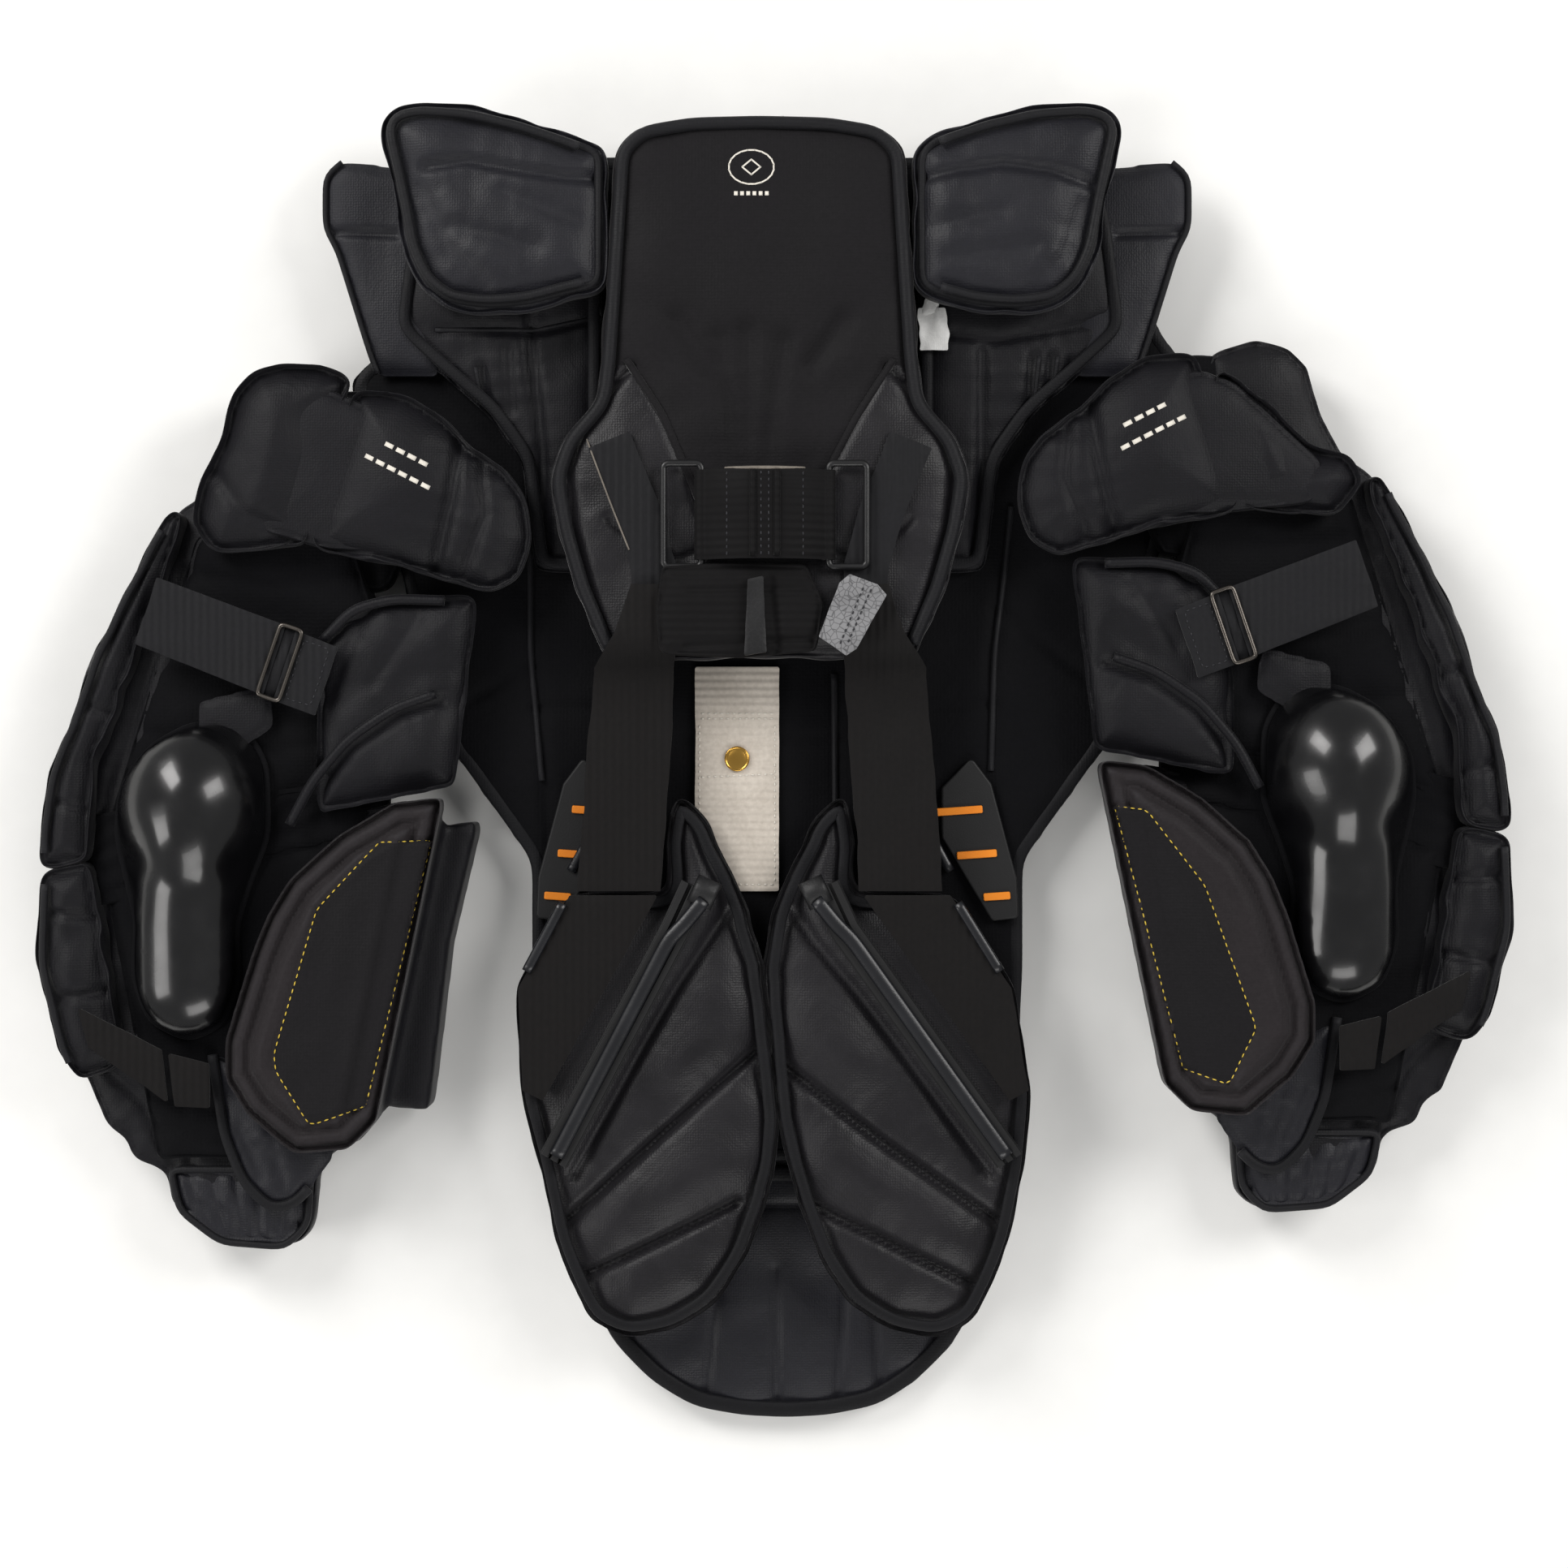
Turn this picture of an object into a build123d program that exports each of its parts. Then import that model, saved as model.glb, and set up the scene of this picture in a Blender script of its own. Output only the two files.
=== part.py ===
# A hockey goalie's chest and arm protector, lying flat on its front with its back up.
# Millimetres. +Z is up, out of the wearer's back, +Y points at the neck and +X at the wearer's right.
# The origin is the bottom centre of the whole protector, on the surface that it lies on.
# Pattern pieces are drawn outwards from the middle of the body, so one outline serves both sides.

from build123d import *
import os
from math import hypot, radians, tan

os.makedirs("parts", exist_ok=True)

# Overall sizes, and the size that the pattern pieces below are cut for.
overall_width = 871.0
overall_length = 780.0
pattern_width = 871.0
pattern_length = 780.0

# Thicknesses of the layers, from the floor up.
guard_thickness = 14.0
core_thickness = 14.0
yoke_thickness = 16.0
flap_thickness = 12.0
collar_thickness = 13.0
apron_thickness = 18.0
wing_thickness = 22.0
floater_thickness = 34.0
spine_thickness = 26.0
torso_space = 24.0
webbing_thickness = 2.5
elastic_thickness = 3.0

# Clearances.
layer_gap = 2.0
strap_gap = 2.0
pad_gap = 3.0
swing_gap = 1.2

# Webbing, hardware and trim.
long_strap_width = 49.0
upper_strap_width = 26.0
snap_strap_width = 50.0
snap_strap_length = 134.0
snap_cap_radius = 7.5
snap_cap_height = 3.0
snap_socket_radius = 5.0
snap_from_top = 55.0
ring_wire_radius = 2.0
ring_reach = 22.0
ring_clearance = 2.0
hem_clearance = 0.4
hem_wall = 1.6
belt_width = 52.0
bridge_span = 74.0
bridge_rise = 14.0
rib_width = 18.0
rib_base = 3.0
ridge_height = 4.5
ridge_width = 4.0
plate_thickness = 5.0
insert_width = 4.6
insert_height = 1.8
label_thickness = 1.5

# Arms.
panel_thickness = 6.0
arm_hollow = 36.0
sleeve_wall = 8.0
shoulder_thickness = 28.0
outer_pad_bottom = 24.0
outer_pad_top = 62.0
inner_pad_thickness = 14.0
block_thickness = 30.0
backing_bottom = 12.0
cuff_wall = 5.0
cap_height = 46.0
cap_wall = 3.0
elbow_flex = 55.0
biceps_ring_bar = 3.0
biceps_ring_width = 18.0
biceps_ring_length = 48.0
right_arm_shift = (-3.0, 22.0)
right_strap_roll = -21.0
right_cap_roll = -11.0
right_block_roll = -5.0

# The back lies to the left of the middle at the chest, and a little to the right at the hem.
chest_lean = -10.0
chest_line = -100.0
hem_lean = 3.0
hem_line = -230.0
floater_lean = -15.0
flap_lean = -12.0

# Heights that follow from the layers.
core_bottom = guard_thickness
core_top = core_bottom + core_thickness
yoke_top = core_top + yoke_thickness
spine_bottom = core_top + torso_space
spine_top = spine_bottom + spine_thickness
plate_top = core_top + plate_thickness
wing_bottom = plate_top + insert_height + swing_gap
wing_top = wing_bottom + wing_thickness
floater_bottom = yoke_top + layer_gap
floater_top = floater_bottom + floater_thickness
snap_bottom = core_top + swing_gap
ring_height = spine_top + elastic_thickness + ring_wire_radius + 1.5
bridge_thickness = 2.0
belt_fold = 14.0
sleeve_top = 2 * panel_thickness + arm_hollow
arm_pad_bottom = sleeve_top + layer_gap
elbow_height = panel_thickness + arm_hollow / 2
elbow_gap = elbow_height * tan(radians(elbow_flex / 2)) + 1.0
inner_pad_top = arm_pad_bottom + inner_pad_thickness
strap_bottom = max(outer_pad_top, inner_pad_top) + 1.0

wide = overall_width / pattern_width
long = overall_length / pattern_length


def lay(points, side=1, centre=0.0):
    """Pattern points laid on one side of the middle: side is -1 for the left and 1 for the right."""
    return [((centre + side * x) * wide, y * long) for x, y in points]


def lean(y):
    """How far the back sits from the middle at the height y."""
    share = min(1.0, max(0.0, (chest_line - y) / (chest_line - hem_line)))
    return chest_lean + share * (hem_lean - chest_lean)


def lay_back(points, side=1):
    """Pattern points of a piece of the back, which follows the lean of the body."""
    return [((lean(y) + side * x) * wide, y * long) for x, y in points]


def lay_arm(points, side, roll=0.0):
    """Pattern points of an arm: the right arm lies higher, and its upper pieces are rolled inwards."""
    along, up = right_arm_shift if side > 0 else (0.0, 0.0)
    if side > 0:
        along += roll
    return lay([(x + along, y + up) for x, y in points], side)


def mirrored(half):
    """A whole outline from its right half, which runs from the top middle to the bottom middle."""
    return half + [(-x, y) for x, y in reversed(half) if x > 0]


def finish(solid, label):
    """Names a finished piece and writes its file."""
    solid.part.label = label
    export_step(solid.part, f"parts/{label}.step")


def soft_pad(label, outline, bottom, top, corner=6.0, edge=3.0):
    """A closed foam pad: one pattern piece with round corners and a softened upper edge."""
    with BuildPart() as pad:
        with BuildSketch(Plane.XY.offset(bottom)) as pattern:
            with BuildLine():
                Polyline(*outline, close=True)
            make_face()
            fillet(pattern.vertices(), corner)
        extrude(amount=top - bottom)
        fillet(pad.faces().sort_by(Axis.Z)[-1].edges(), edge)
    finish(pad, label)


def flat_piece(label, outlines, bottom, thickness, corner=1.0):
    """Webbing, a plate or a group of them: flat pieces of one thickness."""
    with BuildPart() as piece:
        for outline in outlines:
            with BuildSketch(Plane.XY.offset(bottom)) as pattern:
                with BuildLine():
                    Polyline(*outline, close=True)
                make_face()
                fillet(pattern.vertices(), corner)
            extrude(amount=thickness)
    finish(piece, label)


def ribbon(route, width, offset=0.0):
    """The outline of a band of constant width along a route of points."""
    left, right = [], []
    for here, (x, y) in enumerate(route):
        before = route[max(here - 1, 0)]
        after = route[min(here + 1, len(route) - 1)]
        run = hypot(after[0] - before[0], after[1] - before[1])
        across = (-(after[1] - before[1]) / run, (after[0] - before[0]) / run)
        left.append((x + across[0] * (offset + width / 2), y + across[1] * (offset + width / 2)))
        right.append((x + across[0] * (offset - width / 2), y + across[1] * (offset - width / 2)))
    return left + right[::-1]


# ---------------------------------------------------------------- the front and the core
core_half = [
    (0, 366), (92, 368), (185, 366), (214, 340), (226, 268), (239, 249), (256, 233),
    (198, 17), (147, -54), (147, -120), (141, -234), (0, -234),
]
soft_pad("chest_core", lay(mirrored(core_half)), core_bottom, core_top, corner=5.0, edge=2.0)

chest_guard = [(12, 340), (92, 345), (168, 330), (208, 262), (192, 110), (150, 70), (12, 70)]
for name, side in (("left", -1), ("right", 1)):
    soft_pad(f"{name}_chest_guard", lay(chest_guard, side), 0, guard_thickness, edge=2.0)

abdomen_half = [(0, 60), (140, 60), (132, -60), (128, -226), (0, -226)]
soft_pad("abdomen_guard", lay(mirrored(abdomen_half)), 0, guard_thickness, edge=2.0)

collar = [(-56, 384), (-30, 388), (24, 388), (50, 384), (58, 352), (-64, 352)]
soft_pad("collar_guard", lay(collar), core_top, core_top + collar_thickness, corner=5.0)

yoke = [
    (94, 118), (94, 350), (190, 362), (208, 336), (218, 262), (190, 236), (162, 212), (142, 184), (134, 118),
]
flap = [(204, 358), (247, 362), (257, 352), (256, 322), (250, 311), (233, 256), (225, 262), (217, 338)]
floater = [
    (108, 372), (135, 381), (165, 388), (195, 390), (211, 386), (217, 375), (213, 358), (207, 330),
    (202, 303), (193, 284), (178, 272), (155, 269), (130, 271), (108, 277),
]
spine_half = [
    (0, 382), (40, 381), (70, 376), (84, 363), (88, 300), (92, 240), (95, 216), (114, 194), (122, 171),
    (117, 140), (107, 105), (90, 66), (0, 66),
]
spine_edge = 88.0
floater_top_inner = 364.0
floater_low_inner = 282.0
for name, side in (("left", -1), ("right", 1)):
    soft_pad(f"{name}_shoulder_yoke", lay(yoke, side, chest_lean), core_top, yoke_top)
    soft_pad(
        f"{name}_shoulder_flap", lay(flap, side, flap_lean), core_top, core_top + flap_thickness, corner=3.0
    )
    inner = spine_edge + pad_gap + side * (chest_lean - floater_lean)
    outline = [(inner, floater_low_inner), (inner, floater_top_inner)] + floater
    soft_pad(
        f"{name}_floater", lay(outline, side, floater_lean), floater_bottom, floater_top, corner=4.0, edge=3.5
    )

label_outline = [(94, 249), (111, 249), (111, 274), (94, 274)]
flat_piece("care_label", [lay(label_outline, 1, chest_lean)], yoke_top, label_thickness)

# ---------------------------------------------------------------- side ladders
ladder_plate = [(98, -10), (116, 8), (128, -8), (143, -64), (144, -88), (128, -90), (98, -40)]
insert_rungs = [(108, -24, 29), (119, -50, 24), (131, -75, 16)]
insert_tilt = 4.0
for name, side in (("left", -1), ("right", 1)):
    flat_piece(f"{name}_ladder_plate", [lay(ladder_plate, side)], core_top, plate_thickness, corner=3.0)

with BuildPart() as ladder_inserts:
    for side in (-1, 1):
        for x, y, length in insert_rungs:
            with BuildSketch(Plane.XY.offset(plate_top)):
                with Locations(Location((side * x * wide, y * long, 0), side * insert_tilt)):
                    RectangleRounded(length, insert_width, 1.0)
            extrude(amount=insert_height)
finish(ladder_inserts, "ladder_inserts")

# ---------------------------------------------------------------- the back pad and its harness
soft_pad("spine_pad", lay_back(mirrored(spine_half)), spine_bottom, spine_top, corner=4.0, edge=3.5)

upper_route = [(88, 192), (70, 148), (62, 118), (60, 76)]
flat_piece(
    "upper_straps",
    [lay_back(ribbon(upper_route, upper_strap_width), side) for side in (-1, 1)],
    spine_top,
    elastic_thickness,
)

long_route = [(73, 64), (78, 5), (82, -42), (83, -71)]
long_half = long_strap_width / 2 / wide
long_outline = [(x + long_half, y) for x, y in long_route] + [(x - long_half, y) for x, y in reversed(long_route)]
for name, side in (("left", -1), ("right", 1)):
    flat_piece(f"{name}_long_strap", [lay_back(long_outline, side)], wing_top, elastic_thickness)

# The belt bridge: a short wide elastic that arches between two wire rings, held in its hems.
bridge_centre = (chest_lean + 3.0) * wide
bridge_low = 122.0 * long
ring_side = ring_clearance + ring_wire_radius
with BuildPart() as belt_bridge:
    with BuildSketch(Plane.XZ.offset(-bridge_low)) as profile:
        with BuildLine():
            half_span = bridge_span / 2
            ends = [(bridge_centre + s * half_span, ring_height) for s in (-1, 1)]
            crown = (bridge_centre, ring_height + bridge_rise)
            arch = ThreePointArc(ends[0], crown, ends[1])
            offset(arch, amount=bridge_thickness, side=Side.LEFT)
        make_face()
        with Locations(*ends):
            Circle(ring_wire_radius + hem_clearance + hem_wall)
            Circle(ring_wire_radius + hem_clearance, mode=Mode.SUBTRACT)
    extrude(amount=-belt_width)
finish(belt_bridge, "belt_bridge")

for name, side in (("left", -1), ("right", 1)):
    near = bridge_centre + side * bridge_span / 2
    middle = (near + side * ring_reach / 2, bridge_low + belt_width / 2)
    with BuildSketch(Plane.XY.offset(ring_height)) as frame:
        with Locations(middle):
            RectangleRounded(ring_reach, belt_width + 2 * ring_side, ring_wire_radius + 1.2)
    wire = frame.sketch.faces()[0].outer_wire()
    with BuildPart() as belt_ring:
        with BuildSketch(Plane(origin=wire @ 0, z_dir=wire % 0)):
            Circle(ring_wire_radius)
        sweep(path=wire)
    finish(belt_ring, f"{name}_belt_ring")

folded = [(-52, 67), (-54, 110), (16, 112), (20, 70)]
soft_pad("folded_belt", lay(folded), spine_top, spine_top + belt_fold, corner=3.0, edge=2.0)
fold_top = spine_top + belt_fold
flat_piece("dark_pull_tab", [lay([(-19, 66), (-17, 110), (-8, 112), (-6, 68)])], fold_top, 4.0)
grey_tab = [(24, 77), (40, 66), (46, 70), (63, 101), (58, 107), (42, 113), (36, 108)]
flat_piece("grey_pull_tab", [lay(grey_tab)], fold_top, 3.0)

# ---------------------------------------------------------------- the snap strap
snap_x = -24.0 * wide
snap_top = 62.0 * long
with BuildPart() as snap_strap:
    with BuildSketch(Plane.XY.offset(snap_bottom)):
        with Locations((snap_x, snap_top - snap_strap_length / 2)):
            RectangleRounded(snap_strap_width, snap_strap_length, 1.5)
            with Locations((0, snap_strap_length / 2 - snap_from_top)):
                Circle(snap_socket_radius / 2, mode=Mode.SUBTRACT)
    extrude(amount=webbing_thickness)
finish(snap_strap, "snap_strap")

snap_place = (snap_x, snap_top - snap_from_top)
snap_face = snap_bottom + webbing_thickness
with BuildPart() as snap_button:
    with BuildSketch(Plane.XY.offset(snap_face)):
        with Locations(snap_place):
            Circle(snap_cap_radius)
    extrude(amount=snap_cap_height)
    fillet(snap_button.faces().sort_by(Axis.Z)[-1].edges(), 1.4)
    with BuildSketch(Plane.XY.offset(snap_bottom)):
        with Locations(snap_place):
            Circle(snap_socket_radius / 2)
    extrude(amount=webbing_thickness)
finish(snap_button, "snap_button")

# ---------------------------------------------------------------- kidney wings
wing_gap = strap_gap / wide
strap_end_x, strap_end_y = long_route[-1]
wing_top_edge = strap_end_y - strap_gap / long
wing_outline = [
    (long_route[1][0] - long_half - wing_gap - 1, -12),
    (long_route[2][0] - long_half - wing_gap, long_route[2][1]),
    (strap_end_x - long_half - wing_gap, wing_top_edge),
    (114, wing_top_edge),
    (147, -128), (151, -191), (143, -236), (134, -278), (124, -303), (113, -325), (92, -335), (64, -330),
    (40, -315), (22, -288), (8, -250), (3, -210), (3, -166), (6, -130), (15, -91), (21, -60), (31, -30),
]
hip_inner = (137, -194)
hip_outline = [
    (strap_end_x - long_half + 2, wing_top_edge - 0.5), (112, wing_top_edge - 0.5),
    (145, -128), (149, -188), hip_inner,
]
rib_route = [(38, -68), (50, -94), (134, -229)]
ridge_offsets = (-6.0, 0.0, 6.0)
for name, side in (("left", -1), ("right", 1)):
    soft_pad(f"{name}_kidney_wing", lay_back(wing_outline, side), wing_bottom, wing_top, corner=3.0)
    flat_piece(f"{name}_hip_strap", [lay_back(hip_outline, side)], wing_top, elastic_thickness)
    with BuildPart() as rib_bar:
        with BuildSketch(Plane.XY.offset(wing_top)):
            with BuildLine():
                Polyline(*lay_back(ribbon(rib_route, rib_width), side), close=True)
            make_face()
        extrude(amount=rib_base)
        for across in ridge_offsets:
            with BuildSketch(Plane.XY.offset(wing_top + rib_base)):
                with BuildLine():
                    Polyline(*lay_back(ribbon(rib_route, ridge_width, across), side), close=True)
                make_face()
            extrude(amount=ridge_height)
    finish(rib_bar, f"{name}_rib_bar")

# ---------------------------------------------------------------- the belly apron
apron_half = [
    (0, -238), (142, -238), (137, -277), (118, -318), (101, -347), (80, -368), (56, -383), (25, -389), (0, -390),
]
soft_pad("belly_apron", lay(mirrored(apron_half), 1, hem_lean + 1), 0, apron_thickness, corner=4.0)

# ---------------------------------------------------------------- arms
elbow_outer = (437.0, -60.0)
elbow_slope = 0.2015


def elbow_y(x, gap):
    """The elbow line at x on the pattern, moved up the arm by a real gap."""
    return elbow_outer[1] + elbow_slope * (elbow_outer[0] - x) + gap * hypot(1, elbow_slope) / long


def tube(label, quad, bottom, top, panel, wall):
    """A flat sleeve: a four-sided tube, open at both ends. quad is outer top, inner top, inner low, outer low."""
    corners = [Vector(*point) for point in quad]
    starts = []
    for a, b in ((0, 1), (3, 2)):
        across = (corners[b] - corners[a]).normalized() * wall
        starts.append((corners[a] + across, corners[b] - across))
    hollow = []
    for k in (0, 1):
        along = (starts[1][k] - starts[0][k]).normalized() * 2 * wall
        hollow.append((starts[0][k] - along, starts[1][k] + along))
    with BuildPart() as sleeve:
        with BuildSketch(Plane.XY.offset(bottom)) as outside:
            with BuildLine():
                Polyline(*quad, close=True)
            make_face()
        extrude(amount=top - bottom)
        with BuildSketch(Plane.XY.offset(bottom + panel)):
            with BuildLine():
                Polyline(hollow[0][0], hollow[1][0], hollow[1][1], hollow[0][1], close=True)
            make_face()
        extrude(amount=top - bottom - 2 * panel, mode=Mode.SUBTRACT)
    finish(sleeve, label)


upper_sleeve = [(345, 140), (262, 170), (212, elbow_y(212, elbow_gap)), (400, elbow_y(400, elbow_gap))]
outer_pad = [
    (350, 156), (361, 149), (374, 126), (389, 96), (404, 66), (417, 27), (430, -3), (435, -36),
    (436, elbow_y(436, swing_gap)), (408, elbow_y(408, swing_gap)), (404, 4), (354, 136),
]
inner_pad = [
    (271, 76), (258, 89), (234, 101), (204, 103), (176, 104), (190, elbow_y(190, swing_gap)),
    (230, elbow_y(230, swing_gap)), (272, elbow_y(272, swing_gap)),
]
shoulder_caps = {
    -1: [
        (267, 236), (288, 237), (306, 233), (318, 220), (327, 190), (338, 166), (342, 146), (330, 128), (275, 133),
        (275, 152), (258, 212), (250, 230),
    ],
    1: [
        (258, 215), (274, 206), (296, 188), (314, 168), (338, 162), (346, 148), (330, 128), (275, 133),
        (275, 152), (260, 204),
    ],
}
inner_shoulder = [
    (247, 222), (218, 219), (196, 205), (181, 190), (160, 175), (149, 160), (145, 136), (152, 114), (168, 105),
    (224, 121), (271, 130), (271, 150), (254, 198),
]
biceps_strap = [(363, 113), (288, 85), (301, 44), (376, 74)]
biceps_tab = [(282, 82), (257, 72), (271, 32), (295, 41)]
biceps_ring_centre = (291.0, 63.0)
biceps_ring_turn = 19.0
cap_outline = [
    (318, 27), (346, 22), (368, 9), (385, -14), (386, -42), (378, -80), (374, -125), (361, -152), (342, -156),
    (328, -141), (328, -112), (330, -86), (320, -62), (309, -32), (304, 0),
]
cap_centre = (347.0, -52.0)
cap_width = 80.0
cap_levels = ((0.0, 1.0), (0.34, 0.97), (0.7, 0.84), (0.92, 0.6), (1.0, 0.34))
forearm_sleeve = [(400, elbow_y(400, -elbow_gap)), (232, elbow_y(232, -elbow_gap)), (275, -233), (368, -233)]
elbow_wing = [
    (435, elbow_y(435, -swing_gap)), (437, -114), (432, -132), (424, -165), (412, -182), (388, -174),
    (406, elbow_y(406, -swing_gap)),
]
forearm_block = [
    (195, elbow_y(195, -swing_gap) - 3), (224, -19), (256, -38), (284, -63), (297, -84), (306, -106), (322, -158),
    (322, -180), (309, -201), (282, -224), (250, -221), (234, -205),
]
backings = {
    -1: [(177, -30), (196, -32), (226, -160), (232, -200), (206, -201), (194, -102)],
    1: [(204, -50), (228, -50), (258, -190), (240, -196), (226, -150)],
}
forearm_strap = [(410, -139), (361, -164), (357, -195), (404, -162)]
forearm_tab = [(357, -166), (333, -172), (333, -198), (353, -197)]
cuff = [(362, -236), (356, -262), (331, -281), (292, -284), (278, -270), (276, -236)]


def scaled(points, share, centre):
    """Points drawn in towards a centre."""
    return [(centre[0] + (x - centre[0]) * share, centre[1] + (y - centre[1]) * share) for x, y in points]


for name, side in (("left", -1), ("right", 1)):
    tube(f"{name}_upper_sleeve", lay_arm(upper_sleeve, side), 0, sleeve_top, panel_thickness, sleeve_wall)
    soft_pad(f"{name}_biceps_outer_pad", lay_arm(outer_pad, side), outer_pad_bottom, outer_pad_top, corner=3.0)
    soft_pad(f"{name}_biceps_inner_pad", lay_arm(inner_pad, side), arm_pad_bottom, inner_pad_top, corner=4.0)
    shoulder_top = arm_pad_bottom + shoulder_thickness
    soft_pad(f"{name}_shoulder_cap", lay_arm(shoulder_caps[side], side), arm_pad_bottom, shoulder_top, corner=4.0)
    soft_pad(f"{name}_inner_shoulder_pad", lay_arm(inner_shoulder, side), arm_pad_bottom, shoulder_top, corner=4.0)
    flat_piece(
        f"{name}_biceps_strap",
        [lay_arm(biceps_strap, side, right_strap_roll), lay_arm(biceps_tab, side, right_strap_roll)],
        strap_bottom,
        webbing_thickness,
    )

    (ring_x, ring_y), = lay_arm([biceps_ring_centre], side, right_strap_roll)
    with BuildPart() as biceps_ring:
        with BuildSketch(Plane.XY.offset(strap_bottom + webbing_thickness)):
            with Locations(Location((ring_x, ring_y, 0), side * biceps_ring_turn)):
                RectangleRounded(biceps_ring_width, biceps_ring_length, 3.0)
                inside = (biceps_ring_width - 2 * biceps_ring_bar, biceps_ring_length - 2 * biceps_ring_bar)
                RectangleRounded(*inside, 1.5, mode=Mode.SUBTRACT)
        extrude(amount=biceps_ring_bar)
        chamfer(biceps_ring.faces().sort_by(Axis.Z)[-1].edges(), 0.8)
    finish(biceps_ring, f"{name}_biceps_ring")

    (middle,) = lay_arm([cap_centre], side, right_cap_roll)
    rim = lay_arm(cap_outline, side, right_cap_roll)
    inset = 1.0 - 2 * cap_wall / (cap_width * wide)
    cap_bottom = arm_pad_bottom
    with BuildPart() as elbow_cap:
        for rise, share in cap_levels:
            with BuildSketch(Plane.XY.offset(cap_bottom + rise * cap_height)):
                with BuildLine():
                    Polyline(*scaled(rim, share, middle), close=True)
                make_face()
        loft(ruled=True)
        for rise, share in cap_levels:
            with BuildSketch(Plane.XY.offset(cap_bottom - 0.5 + rise * (cap_height - cap_wall))):
                with BuildLine():
                    Polyline(*scaled(rim, share * inset, middle), close=True)
                make_face()
        loft(ruled=True, mode=Mode.SUBTRACT)
    finish(elbow_cap, f"{name}_elbow_cap")

    tube(f"{name}_forearm_sleeve", lay_arm(forearm_sleeve, side), 0, sleeve_top, panel_thickness, sleeve_wall)
    soft_pad(f"{name}_elbow_wing", lay_arm(elbow_wing, side), outer_pad_bottom, outer_pad_top, corner=3.0)
    with BuildPart() as block:
        with BuildSketch(Plane.XY.offset(arm_pad_bottom)) as block_pattern:
            with BuildLine():
                Polyline(*lay_arm(forearm_block, side, right_block_roll), close=True)
            make_face()
            fillet(block_pattern.vertices(), 3.0)
        extrude(amount=block_thickness)
        fillet(block.faces().sort_by(Axis.Z)[-1].edges(), 2.5)
        with BuildSketch(Plane.XY.offset(backing_bottom)) as backing_pattern:
            with BuildLine():
                Polyline(*lay_arm(backings[side], side), close=True)
            make_face()
            fillet(backing_pattern.vertices(), 2.0)
        extrude(amount=arm_pad_bottom - backing_bottom)
    finish(block, f"{name}_forearm_block")
    flat_piece(
        f"{name}_forearm_strap",
        [lay_arm(forearm_strap, side), lay_arm(forearm_tab, side)],
        outer_pad_top + 1.0,
        webbing_thickness,
    )

    with BuildPart() as wrist_cuff:
        with BuildSketch(Plane.XY.offset(panel_thickness / 2)) as cuff_pattern:
            with BuildLine():
                Polyline(*lay_arm(cuff, side), close=True)
            make_face()
            fillet(cuff_pattern.vertices().group_by(Axis.Y)[0], 3.0)
        extrude(amount=sleeve_top - panel_thickness)
        (low_left, high_right) = lay_arm([(283, -290), (353, -230)], side)
        hollow_middle = ((low_left[0] + high_right[0]) / 2, (low_left[1] + high_right[1]) / 2)
        hollow_size = (abs(high_right[0] - low_left[0]), abs(high_right[1] - low_left[1]))
        with BuildSketch(Plane.XY.offset(panel_thickness / 2 + cuff_wall)):
            with Locations(hollow_middle):
                Rectangle(*hollow_size)
        extrude(amount=sleeve_top - panel_thickness - 2 * cuff_wall, mode=Mode.SUBTRACT)
    finish(wrist_cuff, f"{name}_wrist_cuff")
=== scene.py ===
# A hockey goalie's chest and arm protector, lying flat with its back up.
# Lengths in this file are millimetres until metres() turns them; the frame is in metres.

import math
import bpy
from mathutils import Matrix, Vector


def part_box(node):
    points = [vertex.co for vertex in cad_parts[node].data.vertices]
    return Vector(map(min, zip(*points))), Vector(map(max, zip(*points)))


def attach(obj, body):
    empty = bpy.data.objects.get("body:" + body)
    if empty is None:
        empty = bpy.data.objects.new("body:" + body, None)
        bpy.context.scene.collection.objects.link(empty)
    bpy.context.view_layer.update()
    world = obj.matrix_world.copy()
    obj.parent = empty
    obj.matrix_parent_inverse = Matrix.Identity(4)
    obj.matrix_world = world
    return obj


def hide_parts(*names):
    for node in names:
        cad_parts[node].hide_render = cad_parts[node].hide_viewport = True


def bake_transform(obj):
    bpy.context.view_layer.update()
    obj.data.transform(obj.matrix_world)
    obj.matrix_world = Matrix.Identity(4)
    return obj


bl_info = {
    "name": "Goalie Chest and Arm Protector",
    "version": (1, 0, 0),
    "blender": (4, 5, 0),
    "location": "View3D > Sidebar > Protector",
    "description": "Builds the padded pieces, straps and hardware of a chest and arm protector",
    "category": "Object",
}

import bmesh
import bpy
import numpy as np
from mathutils import Matrix, Vector
from mathutils.bvhtree import BVHTree

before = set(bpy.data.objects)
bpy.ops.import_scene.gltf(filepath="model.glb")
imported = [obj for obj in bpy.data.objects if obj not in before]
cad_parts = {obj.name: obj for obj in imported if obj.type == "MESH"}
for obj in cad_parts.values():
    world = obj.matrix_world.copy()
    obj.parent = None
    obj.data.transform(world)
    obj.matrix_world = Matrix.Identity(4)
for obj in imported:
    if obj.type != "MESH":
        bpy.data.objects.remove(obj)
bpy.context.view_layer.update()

SIDES = (("left", -1), ("right", 1))

# The back doesn't hang straight: its middle drifts from CHEST_LEAN at the chest to HEM_LEAN at the hem.
CHEST_LEAN, HEM_LEAN = -10.0, 3.0
CHEST_LINE, HEM_LINE = -100.0, -230.0

# The right arm lies further in and higher than the left one, and its strap and cap are rolled inwards as well.
ARM_SHIFT = (-3.0, 22.0)
STRAP_ROLL, CAP_ROLL = -21.0, -11.0

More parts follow.
